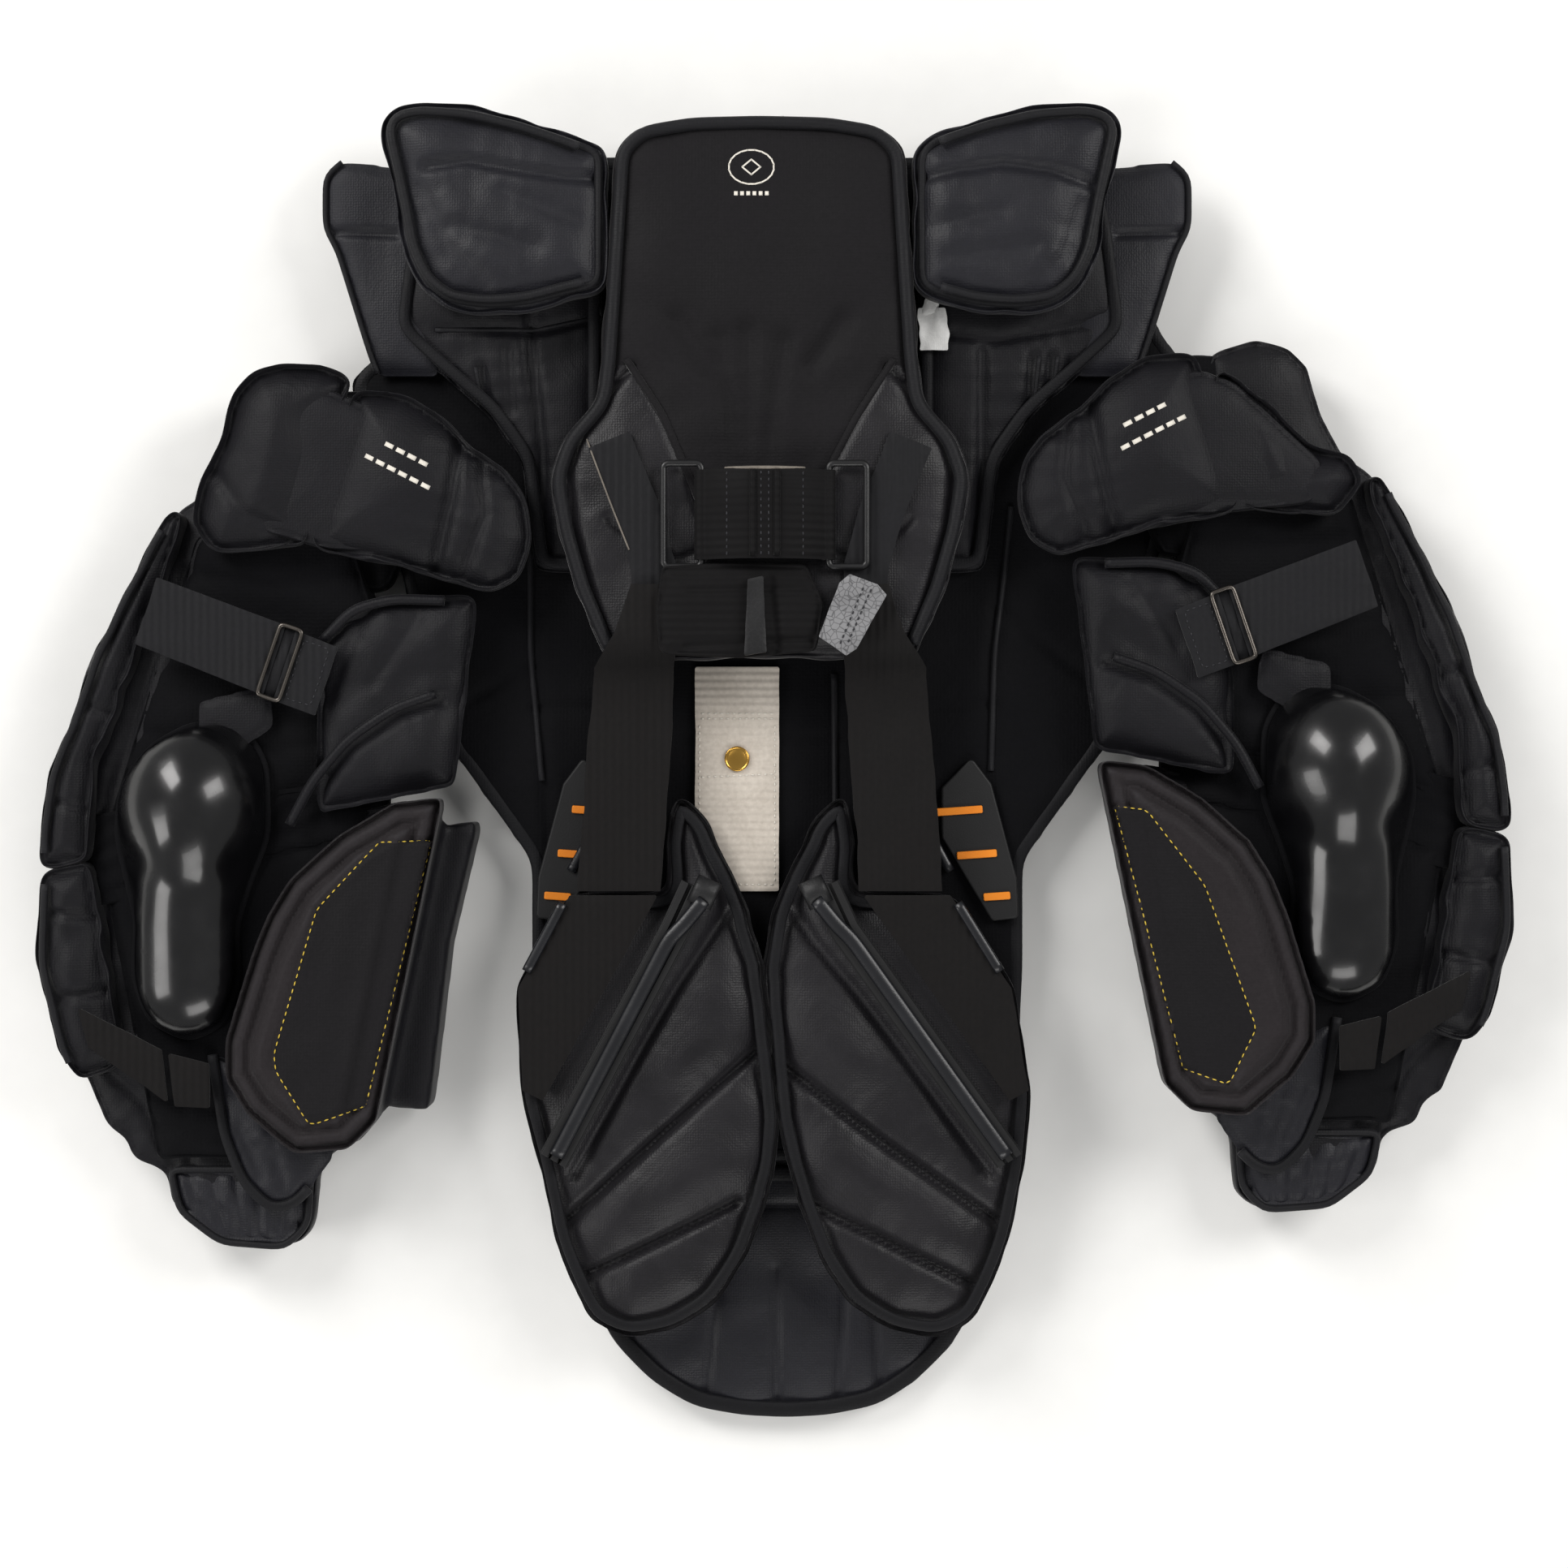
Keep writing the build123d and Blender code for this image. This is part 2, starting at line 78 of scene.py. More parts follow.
# The elbow's line slopes up from the arm's outer edge, and its axis lies at ELBOW_LEVEL.
ARM_EDGE = 437.0
ELBOW_FOOT, ELBOW_SLOPE, ELBOW_LEVEL = -60.0, 0.2015, 24.0

# The kidney wings meet in the middle between these two heights.
WING_TOP, WING_HEM = -58.0, -236.0


# ---------------------------------------------------------------- places
def metres(value):
    return value / 1000.0


def lean(y):
    """How far the back sits from the middle at the height y."""
    share = min(1.0, max(0.0, (CHEST_LINE - y) / (CHEST_LINE - HEM_LINE)))
    return CHEST_LEAN + share * (HEM_LEAN - CHEST_LEAN)


def on_back(points, side=1):
    """Points drawn outwards from the middle of the back, on one side."""
    return [(lean(y) + side * x, y) for x, y in points]


def on_arm(points, side, roll=0.0):
    """Points drawn outwards on an arm: the right arm lies higher and is rolled inwards."""
    along, up = (ARM_SHIFT[0] + roll, ARM_SHIFT[1]) if side > 0 else (0.0, 0.0)
    return [(side * (x + along), y + up) for x, y in points]


def elbow_line(x):
    """The height at which the elbow's line crosses an arm, at x outwards from the middle."""
    return ELBOW_FOOT + ELBOW_SLOPE * (ARM_EDGE - x)


def height(node):
    """The lowest and highest level of a frame piece."""
    low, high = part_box(node)
    return low[2] * 1000.0, high[2] * 1000.0


def nearest(points, path, closed=False):
    """Distance in plan from each point to a path, and how far along the path its nearest place is."""
    path = np.asarray(path, float)[:, :2]
    if closed:
        path = np.vstack([path, path[:1]])
    best, along, run = np.full(len(points), 1e9), np.zeros(len(points)), 0.0
    for start, end in zip(path[:-1], path[1:]):
        step = end - start
        length = float(np.hypot(*step))
        if length < 1e-6:
            continue
        share = np.clip(((points[:, :2] - start) @ step) / length**2, 0, 1)
        gap = np.hypot(*(points[:, :2] - (start + share[:, None] * step)).T)
        closer = gap < best
        best[closer] = gap[closer]
        along[closer] = (run + share * length)[closer]
        run += length
    return best, along


def inside(points, ring):
    """Which points lie within a closed outline, in plan."""
    ring = np.asarray(ring, float)[:, :2]
    within = np.zeros(len(points), bool)
    for (ax, ay), (bx, by) in zip(ring, np.roll(ring, -1, axis=0)):
        if ay == by:
            continue
        crosses = (ay > points[:, 1]) != (by > points[:, 1])
        within ^= crosses & (points[:, 0] < ax + (points[:, 1] - ay) * (bx - ax) / (by - ay))
    return within


def from_edge(points, ring):
    """How far inside a closed outline each point lies, in plan; nothing outside it."""
    edge, _ = nearest(points, ring, True)
    return np.where(inside(points, ring), edge, 0.0)


def upward(facing):
    """How much each point belongs to the top of a piece, from 0 on its sides to 1."""
    return np.clip((facing[:, 2] - 0.15) / 0.5, 0, 1)


def even(path, step, closed=False, round_off=0):
    """A path laid out again in equal steps, with its corners eased."""
    path = np.asarray(path, float)
    if closed:
        path = np.vstack([path, path[:1]])
    run = np.concatenate([[0.0], np.cumsum(np.linalg.norm(np.diff(path, axis=0), axis=1))])
    count = max(2, int(round(run[-1] / step)) + (0 if closed else 1))
    places = np.linspace(0, run[-1], count, endpoint=not closed)
    laid = np.column_stack([np.interp(places, run, path[:, axis]) for axis in range(path.shape[1])])
    for _ in range(round_off):
        before, after = np.roll(laid, 1, axis=0), np.roll(laid, -1, axis=0)
        eased = (before + 2 * laid + after) / 4
        if not closed:
            eased[0], eased[-1] = laid[0], laid[-1]
        laid = eased
    return laid


def drawn_in(ring, gap):
    """A closed outline moved inwards by a gap."""
    ring = np.asarray(ring, float)
    flat = ring[:, :2]
    turn = np.sum(flat[:, 0] * np.roll(flat[:, 1], -1) - np.roll(flat[:, 0], -1) * flat[:, 1])
    along = np.roll(flat, -1, axis=0) - np.roll(flat, 1, axis=0)
    along /= np.maximum(np.linalg.norm(along, axis=1), 1e-9)[:, None]
    inward = np.column_stack([-along[:, 1], along[:, 0]]) * (1 if turn > 0 else -1)
    moved = ring.copy()
    moved[:, :2] += inward * gap
    return moved


def ripples(points, length, seed):
    """Soft uneven waves over a surface, about one high."""
    draw = np.random.default_rng(seed)
    total = np.zeros(len(points))
    x, y = points[:, 0], points[:, 1]
    for _ in range(6):
        angle = draw.uniform(0, 2 * math.pi)
        wave = length * draw.uniform(0.7, 1.5)
        phase = draw.uniform(0, 2 * math.pi)
        total += np.sin((x * math.cos(angle) + y * math.sin(angle)) * 2 * math.pi / wave + phase)
    return total / 3.5


# ---------------------------------------------------------------- meshes
def shown(name, mesh):
    """A new object of a mesh, smooth shaded, in the scene."""
    piece = bpy.data.objects.new(name, mesh)
    bpy.context.scene.collection.objects.link(piece)
    for face in mesh.polygons:
        face.use_smooth = True
    return piece


def merged(node):
    """A bmesh copy of a frame piece with its loose triangles joined."""
    shape = bmesh.new()
    shape.from_mesh(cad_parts[node].data)
    bmesh.ops.remove_doubles(shape, verts=shape.verts, dist=1e-5)
    return shape


def cut_out(outline, bottom, top):
    """A bmesh of a flat pattern piece between two levels."""
    shape = bmesh.new()
    foot = shape.faces.new([shape.verts.new((metres(x), metres(y), metres(bottom))) for x, y in outline])
    grown = bmesh.ops.extrude_face_region(shape, geom=[foot])["geom"]
    lifted = [g for g in grown if isinstance(g, bmesh.types.BMVert)]
    bmesh.ops.translate(shape, verts=lifted, vec=(0, 0, metres(top - bottom)))
    bmesh.ops.recalc_face_normals(shape, faces=shape.faces)
    return shape


def made(name, shape):
    """A bmesh written to a new object."""
    mesh = bpy.data.meshes.new(name)
    shape.to_mesh(mesh)
    shape.free()
    return shown(name, mesh)


def settled(piece):
    """The piece with its modifiers applied."""
    bpy.context.view_layer.update()
    done = bpy.data.meshes.new_from_object(piece.evaluated_get(bpy.context.evaluated_depsgraph_get()))
    piece.modifiers.clear()
    old, piece.data = piece.data, done
    bpy.data.meshes.remove(old)
    for face in done.polygons:
        face.use_smooth = True
    return piece


def worked(piece, *steps):
    """The piece with modifiers applied in order, each given as its kind and its settings."""
    for kind, settings in steps:
        modifier = piece.modifiers.new(kind.lower(), kind)
        for key, value in settings.items():
            setattr(modifier, key, value)
    return settled(piece)


def voxels(size):
    """The step that lays an even grid of cloth over a piece."""
    return "REMESH", {"mode": "VOXEL", "voxel_size": metres(size)}


def smoothing(times):
    """The step that evens out a piece's surface."""
    return "SMOOTH", {"iterations": times, "factor": 0.5}


FINER = ("SUBSURF", {"levels": 1, "render_levels": 1})


def places(piece):
    """The piece's points in millimetres, and which way each faces."""
    count = len(piece.data.vertices)
    points, facing = np.empty(count * 3), np.empty(count * 3)
    piece.data.vertices.foreach_get("co", points)
    piece.data.vertices.foreach_get("normal", facing)
    return points.reshape(-1, 3) * 1000.0, facing.reshape(-1, 3)


def put(piece, points):
    """Moves the piece's points to places in millimetres."""
    piece.data.vertices.foreach_set("co", (points / 1000.0).ravel())
    piece.data.update()


def rim(node, level="top"):
    """The edge of a frame piece's flat top or underside, in order, in millimetres."""
    shape = merged(node)
    top = max(v.co.z for v in shape.verts) if level == "top" else min(v.co.z for v in shape.verts)
    flat = {f for f in shape.faces if all(abs(v.co.z - top) < 2e-5 for v in f.verts)}
    edges = [e for e in shape.edges if sum(f in flat for f in e.link_faces) == 1]
    links = {}
    for edge in edges:
        a, b = edge.verts
        links.setdefault(a, []).append(b)
        links.setdefault(b, []).append(a)
    loops = []
    shape.verts.index_update()
    left = sorted(links, key=lambda vert: vert.index)
    while left:
        here = left.pop(0)
        loop, last = [here], None
        while True:
            ahead = [v for v in links[here] if v is not last and v in left]
            if not ahead:
                break
            last, here = here, ahead[0]
            left.remove(here)
            loop.append(here)
        loops.append([tuple(c * 1000.0 for c in v.co) for v in loop])
    shape.free()
    return max(loops, key=round_trip)


def round_trip(loop):
    """The length of a closed path along its points."""
    points = np.asarray(loop)
    return float(np.sum(np.linalg.norm(points - np.roll(points, 1, axis=0), axis=1)))


def inflate(piece, held, cap):
    """Fills a cover with air like a stuffed pad: held points stay, the others move at most cap."""
    frames = 20
    start, _ = places(piece)
    group = piece.vertex_groups.new(name="sewn")
    group.add([int(i) for i in np.flatnonzero(held)], 1.0, "REPLACE")
    cloth = piece.modifiers.new("cloth", "CLOTH")
    nylon = cloth.settings
    nylon.quality = 5
    nylon.mass = 0.3
    nylon.use_pressure = True
    nylon.uniform_pressure_force = 4.0
    nylon.shrink_min = -0.02
    nylon.vertex_group_mass = "sewn"
    nylon.effector_weights.gravity = 0.0
    nylon.tension_stiffness = 30
    nylon.compression_stiffness = 30
    nylon.bending_stiffness = 8.0
    cloth.collision_settings.use_collision = False
    cloth.point_cache.frame_start, cloth.point_cache.frame_end = 1, frames
    for step in range(1, frames + 1):
        bpy.context.scene.frame_set(step)
    settled(piece)
    bpy.context.scene.frame_set(1)
    piece.vertex_groups.clear()
    now, _ = places(piece)
    move = now - start
    far = np.linalg.norm(move, axis=1)
    move *= (cap * np.tanh(far / cap) / np.maximum(far, 1e-9))[:, None]
    put(piece, start + move)


def pad(name, node, voxel=5.0, crown=4.0, crown_reach=14.0, seams=(), pucker=0.7, puff=0.0, flat_under=(),
        waves=0.5, wave_length=60.0, sink=None, seed=1, side_pull=2.0, grow=1.2, outline=None, levels=None,
        quilt=0.0, relax=9):
    """A stuffed fabric pad made from the space of a frame piece, or from an outline between two levels.

    crown is how far its top falls towards the edge, over crown_reach. seams are (path, depth, width), and
    pucker is the height of the gathers beside them. puff is how far air may swell it, and sink how far its top
    is let down before that. flat_under are outlines of straps that hold it down. waves is the height of its soft
    unevenness. grow lets its sides out, and side_pull draws them in again at top and foot. quilt is how far the
    cover falls towards its seams. relax is how much it is smoothed after the air.
    """
    piece = made(name, cut_out(outline, *levels) if outline else merged(node))
    worked(piece, voxels(voxel))
    ring = [(x, y, levels[1]) for x, y in outline] if outline else rim(node)
    low, high = levels or height(node)
    thickness = max(high - low, 1.0)
    seams = [(np.asarray(path, float), depth, width) for path, depth, width in seams]
    worked(piece, smoothing(2))
    points, _ = places(piece)
    pressed = np.zeros(len(points), bool)
    for strap in flat_under:
        pressed |= inside(points, strap)
    if puff:
        drop = puff * 0.75 if sink is None else sink
        share = np.clip((points[:, 2] - low) / thickness, 0, 1)
        points[:, 2] -= drop * share * ~pressed
        put(piece, points)
        held = (points[:, 2] < low + 2.0) | pressed
        for path, _, _ in seams:
            gap, _ = nearest(points, path)
            held |= (gap < voxel * 0.6) & (points[:, 2] > (low + high) / 2 - drop)
        inflate(piece, held, puff)
        worked(piece, smoothing(relax))
    worked(piece, FINER)
    points, facing = places(piece)
    share = np.clip((points[:, 2] - low) / thickness, 0, 1)
    up = upward(facing) * (share > 0.35)
    points[:, :2] += facing[:, :2] * (grow - side_pull * (2 * np.abs(share - 0.5)) ** 2)[:, None]
    edge = from_edge(points, ring)
    shift = -crown * np.exp(-edge / crown_reach)
    for index, (path, depth, width) in enumerate(seams):
        gap, along = nearest(points, path)
        shift -= depth * np.exp(-((gap / width) ** 2)) + quilt * np.exp(-gap / 13.0)
        if pucker:
            wander = np.sin(along / 23.0 + index) * 1.7 + np.sin(along / 9.1) * 0.8
            beside = np.exp(-gap / 9.0) * (1 - np.exp(-((gap / 2.6) ** 2)))
            shift += 0.5 * pucker * np.sin(along * 2 * math.pi / 11.0 + wander) * beside
    shift += waves * ripples(points, wave_length, seed) * (1 - np.exp(-edge / 10.0))
    points[:, 2] += shift * up
    put(piece, points)
    return piece


def flat_section(name, width, thickness):
    """The rounded flat section of a tape."""
    section = bpy.data.curves.new(name, "CURVE")
    section.dimensions = "2D"
    spline = section.splines.new("POLY")
    turns = 12
    spline.points.add(turns - 1)
    for k in range(turns):
        angle = 2 * math.pi * k / turns
        c, s = math.cos(angle), math.sin(angle)
        across = metres(width) / 2 * math.copysign(abs(c) ** 0.6, c)
        spline.points[k].co = (across, metres(thickness) / 2 * math.copysign(abs(s) ** 0.8, s), 0, 1)
    spline.use_cyclic_u = True
    return bpy.data.objects.new(name, section)


def cord_along(name, paths, radius=1.0, closed=True, flat=None):
    """Piping or tape along paths: round, or flat=(width, thickness) for a binding."""
    line = bpy.data.curves.new(name, "CURVE")
    line.dimensions = "3D"
    line.twist_mode = "Z_UP"
    line.use_fill_caps = True
    profile = None
    if flat:
        profile = flat_section(name + "_section", *flat)
        line.bevel_mode = "OBJECT"
        line.bevel_object = profile
    else:
        line.bevel_depth = metres(radius)
        line.bevel_resolution = 3
    for path in paths:
        spline = line.splines.new("POLY")
        spline.points.add(len(path) - 1)
        for point, place in zip(spline.points, path):
            point.co = (*[metres(c) for c in place], 1)
        spline.use_cyclic_u = closed
    holder = bpy.data.objects.new(name, line)
    bpy.context.scene.collection.objects.link(holder)
    bpy.context.view_layer.update()
    mesh = bpy.data.meshes.new_from_object(holder.evaluated_get(bpy.context.evaluated_depsgraph_get()))
    bpy.data.objects.remove(holder)
    if profile:
        bpy.data.objects.remove(profile)
    shape = bmesh.new()
    shape.from_mesh(mesh)
    bmesh.ops.remove_doubles(shape, verts=shape.verts, dist=1e-6)
    bmesh.ops.recalc_face_normals(shape, faces=shape.faces)
    shape.to_mesh(mesh)
    shape.free()
    mesh.name = name
    mesh.materials.clear()
    return shown(name, mesh)


def surface(*pieces):
    """A function that gives the height of the upmost surface of some pieces at a place in plan."""
    trees = []
    for piece in pieces:
        shape = bmesh.new()
        shape.from_mesh(piece.data)
        trees.append(BVHTree.FromBMesh(shape))
        shape.free()

    def level(x, y):
        found = 0.0
        for tree in trees:
            hit = tree.ray_cast(Vector((metres(x), metres(y), 1.0)), Vector((0, 0, -1)))[0]
            if hit is not None:
                found = max(found, hit.z * 1000.0)
        return found

    return level


def resting(path, level, lift=0.0):
    """A path in plan laid on a surface."""
    heights = np.array([level(p[0], p[1]) for p in path]) + lift
    if len(heights) > 4:
        heights = np.convolve(np.pad(heights, 1, mode="edge"), [0.25, 0.5, 0.25], mode="valid")
    return [(p[0], p[1], float(z)) for p, z in zip(path, heights)]


def printed(name, blocks, level):
    """Flat printed blocks (x, y, width, height, turn) that follow a surface."""
    lift, film = 0.35, 0.4
    shape = bmesh.new()
    for x, y, wide, tall, turn in blocks:
        place = Matrix.Translation((metres(x), metres(y), 0)) @ Matrix.Rotation(math.radians(turn), 4, "Z")
        size = Matrix.Diagonal((metres(wide) / 2, metres(tall) / 2, 1, 1))
        bmesh.ops.create_grid(shape, x_segments=3, y_segments=3, size=1.0, matrix=place @ size)
    for vert in shape.verts:
        vert.co.z = metres(level(vert.co.x * 1000.0, vert.co.y * 1000.0) + lift)
    return worked(made(name, shape), ("SOLIDIFY", {"thickness": metres(film)}))


def stitches(name, rows, length=3.0, pitch=4.4, thread=0.45):
    """Rows of sewn stitches: small rounded bars laid along each row."""
    shape = bmesh.new()
    for row in rows:
        row = even(row, pitch)
        for here, after in zip(row[:-1], row[1:]):
            step = Vector(after) - Vector(here)
            if step.length < 0.5:
                continue
            middle = (Vector(after) + Vector(here)) / 2
            turn = step.to_track_quat("X", "Z").to_matrix().to_4x4()
            size = Matrix.Diagonal((metres(length) / 2, metres(thread) * 1.3, metres(thread), 1))
            place = Matrix.Translation(middle / 1000.0) @ turn @ size
            bmesh.ops.create_icosphere(shape, subdivisions=1, radius=1.0, matrix=place)
    return made(name, shape)


def strap(name, node, wave=0.5, wave_length=34.0, cut=6.0, edge_wave=0.5, seed=3, shape=None, climb=None):
    """A webbing strap, cut finely enough to lie unevenly. climb is how high it rises, along the body."""
    shape = shape or merged(node)
    bmesh.ops.dissolve_limit(shape, angle_limit=0.02, verts=shape.verts, edges=shape.edges)
    low = [min(v.co[k] for v in shape.verts) for k in range(3)]
    high = [max(v.co[k] for v in shape.verts) for k in range(3)]
    for axis in (0, 1):
        normal = Vector((1, 0, 0)) if axis == 0 else Vector((0, 1, 0))
        place = low[axis] + metres(cut)
        while place < high[axis] - metres(1):
            at = Vector((0, 0, 0))
            at[axis] = place
            bmesh.ops.bisect_plane(
                shape, geom=shape.verts[:] + shape.edges[:] + shape.faces[:], plane_co=at, plane_no=normal, dist=1e-6
            )
            place += metres(cut)
    bmesh.ops.triangulate(shape, faces=[f for f in shape.faces if len(f.verts) > 4])
    soft_edge = {"width": metres(0.5), "segments": 2, "limit_method": "ANGLE", "angle_limit": math.radians(50)}
    piece = worked(made(name, shape), ("BEVEL", soft_edge))
    points, _ = places(piece)
    points[:, 2] += wave * (0.5 + 0.5 * ripples(points, wave_length, seed))
    points[:, 0] += edge_wave * ripples(points, wave_length * 0.7, seed + 1) * 0.5
    if climb:
        points[:, 2] += np.interp(points[:, 1], *climb)
    put(piece, points)
    return piece


def eased(name, node, width=0.8, segments=3, angle=35.0):
    """A hard piece from a frame piece, with its edges rounded."""
    shape = merged(node)
    bmesh.ops.dissolve_limit(shape, angle_limit=0.02, verts=shape.verts, edges=shape.edges)
    edges = [e for e in shape.edges if len(e.link_faces) == 2 and e.calc_face_angle(0) > math.radians(angle)]
    bmesh.ops.bevel(
        shape, geom=edges, offset=metres(width), offset_type="OFFSET", segments=segments, profile=0.5,
        affect="EDGES", clamp_overlap=True, material=-1,
    )
    bmesh.ops.triangulate(shape, faces=[f for f in shape.faces if len(f.verts) > 4])
    piece = made(name, shape)
    for face in piece.data.polygons:
        face.use_smooth = False
    return piece


def painted(piece, ring, material, over=-1e9):
    """Gives the faces within an outline another material."""
    piece.data.materials.append(material)
    index = len(piece.data.materials) - 1
    middles = np.array([tuple(f.center) for f in piece.data.polygons]) * 1000.0
    facing = np.array([f.normal.z for f in piece.data.polygons])
    for k in np.flatnonzero(inside(middles, ring) & (facing > 0.3) & (middles[:, 2] > over)):
        piece.data.polygons[int(k)].material_index = index
    return piece


def dressed(node, material):
    """A frame piece that stays, with a real finish."""
    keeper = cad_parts[node]
    for place in keeper.material_slots:
        place.link = "OBJECT"
        place.material = material
    return keeper


def joined(name, parts):
    """Several pieces as one mesh, each keeping its materials."""
    shape = bmesh.new()
    mesh = bpy.data.meshes.new(name)
    for part in parts:
        for material in part.data.materials:
            if material and material.name not in mesh.materials:
                mesh.materials.append(material)
    for part in parts:
        table = [mesh.materials.find(m.name) for m in part.data.materials]
        start = len(shape.faces)
        shape.from_mesh(part.data)
        shape.faces.ensure_lookup_table()
        for face in shape.faces[start:]:
            face.material_index = table[face.material_index] if table else 0
        old = part.data
        bpy.data.objects.remove(part)
        bpy.data.meshes.remove(old)
    shape.to_mesh(mesh)
    shape.free()
    return shown(name, mesh)


def covered(piece, kind):
    """Gives a piece one of the finishes."""
    piece.data.materials.clear()
    piece.data.materials.append(skin(kind))
    return piece


def placed(piece, body, nodes=()):
    """Gives a finished piece its body and the frame pieces that it stands for."""
    if nodes:
        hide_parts(*nodes)
    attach(piece, body)
    return piece


# ---------------------------------------------------------------- finishes
def linear(code):
    """An sRGB hex colour as the renderer's linear colour."""
    parts = [int(code[k : k + 2], 16) / 255 for k in (1, 3, 5)]
    return tuple(c / 12.92 if c <= 0.04045 else ((c + 0.055) / 1.055) ** 2.4 for c in parts) + (1.0,)


def add(tree, kind, inputs=None, **settings):
    """Adds a node, sets it, and gives its inputs a value or a link from (node, output)."""
    node = tree.nodes.new(kind)
    for key, value in settings.items():
        setattr(node, key, value)
    for key, value in (inputs or {}).items():
        if isinstance(value, tuple) and isinstance(value[0], bpy.types.Node):
            tree.links.new(value[0].outputs[value[1]], node.inputs[key])
        else:
            node.inputs[key].default_value = value
    return node


def finish_named(name, **shader):
    """A new material, its tree, its shader and the Object coordinates."""
    material = bpy.data.materials.new(name)
    material.use_nodes = True
    tree = material.node_tree
    tree.nodes.clear()
    body = add(tree, "ShaderNodeBsdfPrincipled", shader)
    add(tree, "ShaderNodeOutputMaterial", {"Surface": (body, "BSDF")})
    where = add(tree, "ShaderNodeTexCoord")
    return material, tree, body, where


def per_metre(size):
    """A pattern's scale from its real size in millimetres."""
    return 1000.0 / size


def fabric(name, dark, light, thread, rough, gloss, sheen, grain=0.25, ribs=None, pale_rims=0.0, bump=0.5, wrinkle=0.0):
    """Woven or knitted cloth: thread is its pattern in millimetres, ribs the angle of a ribbed band."""
    material, tree, body, where = finish_named(
        name,
        **{"Specular IOR Level": gloss, "Sheen Weight": sheen, "Sheen Roughness": 0.4, "IOR": 1.46},
    )
    scale = per_metre(thread)
    if ribs is None:
        cells = add(tree, "ShaderNodeTexVoronoi", {"Vector": (where, "Object"), "Scale": scale, "Randomness": 0.35})
        weave = (cells, "Distance")
    else:
        turn = add(tree, "ShaderNodeMapping", {"Vector": (where, "Object"), "Rotation": (0, 0, ribs)})
        wave = add(
            tree, "ShaderNodeTexWave",
            {"Vector": (turn, "Vector"), "Scale": scale / 6.283, "Distortion": 0.6, "Detail": 1.0, "Detail Scale": 2.0},
        )
        weave = (wave, "Fac")
    fuzz = add(tree, "ShaderNodeTexNoise", {"Vector": (where, "Object"), "Scale": per_metre(2.6), "Detail": 4.0})
    cloud = add(tree, "ShaderNodeTexNoise", {"Vector": (where, "Object"), "Scale": per_metre(46.0), "Detail": 3.0})
    mixed = add(tree, "ShaderNodeMix", {0: 0.55, 2: (fuzz, "Fac"), 3: (cloud, "Fac")}, data_type="FLOAT")
    spread = add(
        tree, "ShaderNodeMapRange",
        {"Value": (mixed, 0), "From Min": 0.5 - grain, "From Max": 0.5 + grain, "To Min": 0.0, "To Max": 1.0},
    )
    tone = add(tree, "ShaderNodeMix", {0: (spread, "Result"), 6: linear(dark), 7: linear(light)}, data_type="RGBA")
    colour = (tone, 2)
    # The colour turns towards a light grey where Pointiness is high, so convex edges and ridges come out paler.
    if pale_rims:
        worn = add(tree, "ShaderNodeNewGeometry")
        edge = add(
            tree, "ShaderNodeMapRange",
            {"Value": (worn, "Pointiness"), "From Min": 0.52, "From Max": 0.60, "To Min": 0.0, "To Max": pale_rims},
        )
        pale_rim_tone = {0: (edge, "Result"), 6: colour, 7: linear("#55555a")}
        colour = (add(tree, "ShaderNodeMix", pale_rim_tone, data_type="RGBA"), 2)
    tree.links.new(colour[0].outputs[colour[1]], body.inputs["Base Color"])
    uneven = add(
        tree, "ShaderNodeMapRange",
        {"Value": (cloud, "Fac"), "From Min": 0.3, "From Max": 0.7, "To Min": rough - 0.07, "To Max": rough + 0.07},
    )
    tree.links.new(uneven.outputs["Result"], body.inputs["Roughness"])
    fine = add(tree, "ShaderNodeBump", {"Height": weave, "Strength": bump, "Distance": metres(0.35)})
    last = fine
    if wrinkle:
        crush = add(
            tree, "ShaderNodeTexNoise",
            {"Vector": (where, "Object"), "Scale": per_metre(30.0), "Detail": 2.0, "Distortion": 1.2},
        )
        last = add(
            tree, "ShaderNodeBump",
            {"Height": (crush, "Fac"), "Strength": wrinkle, "Distance": metres(4.0), "Normal": (fine, "Normal")},
        )
    tree.links.new(last.outputs["Normal"], body.inputs["Normal"])
    return material


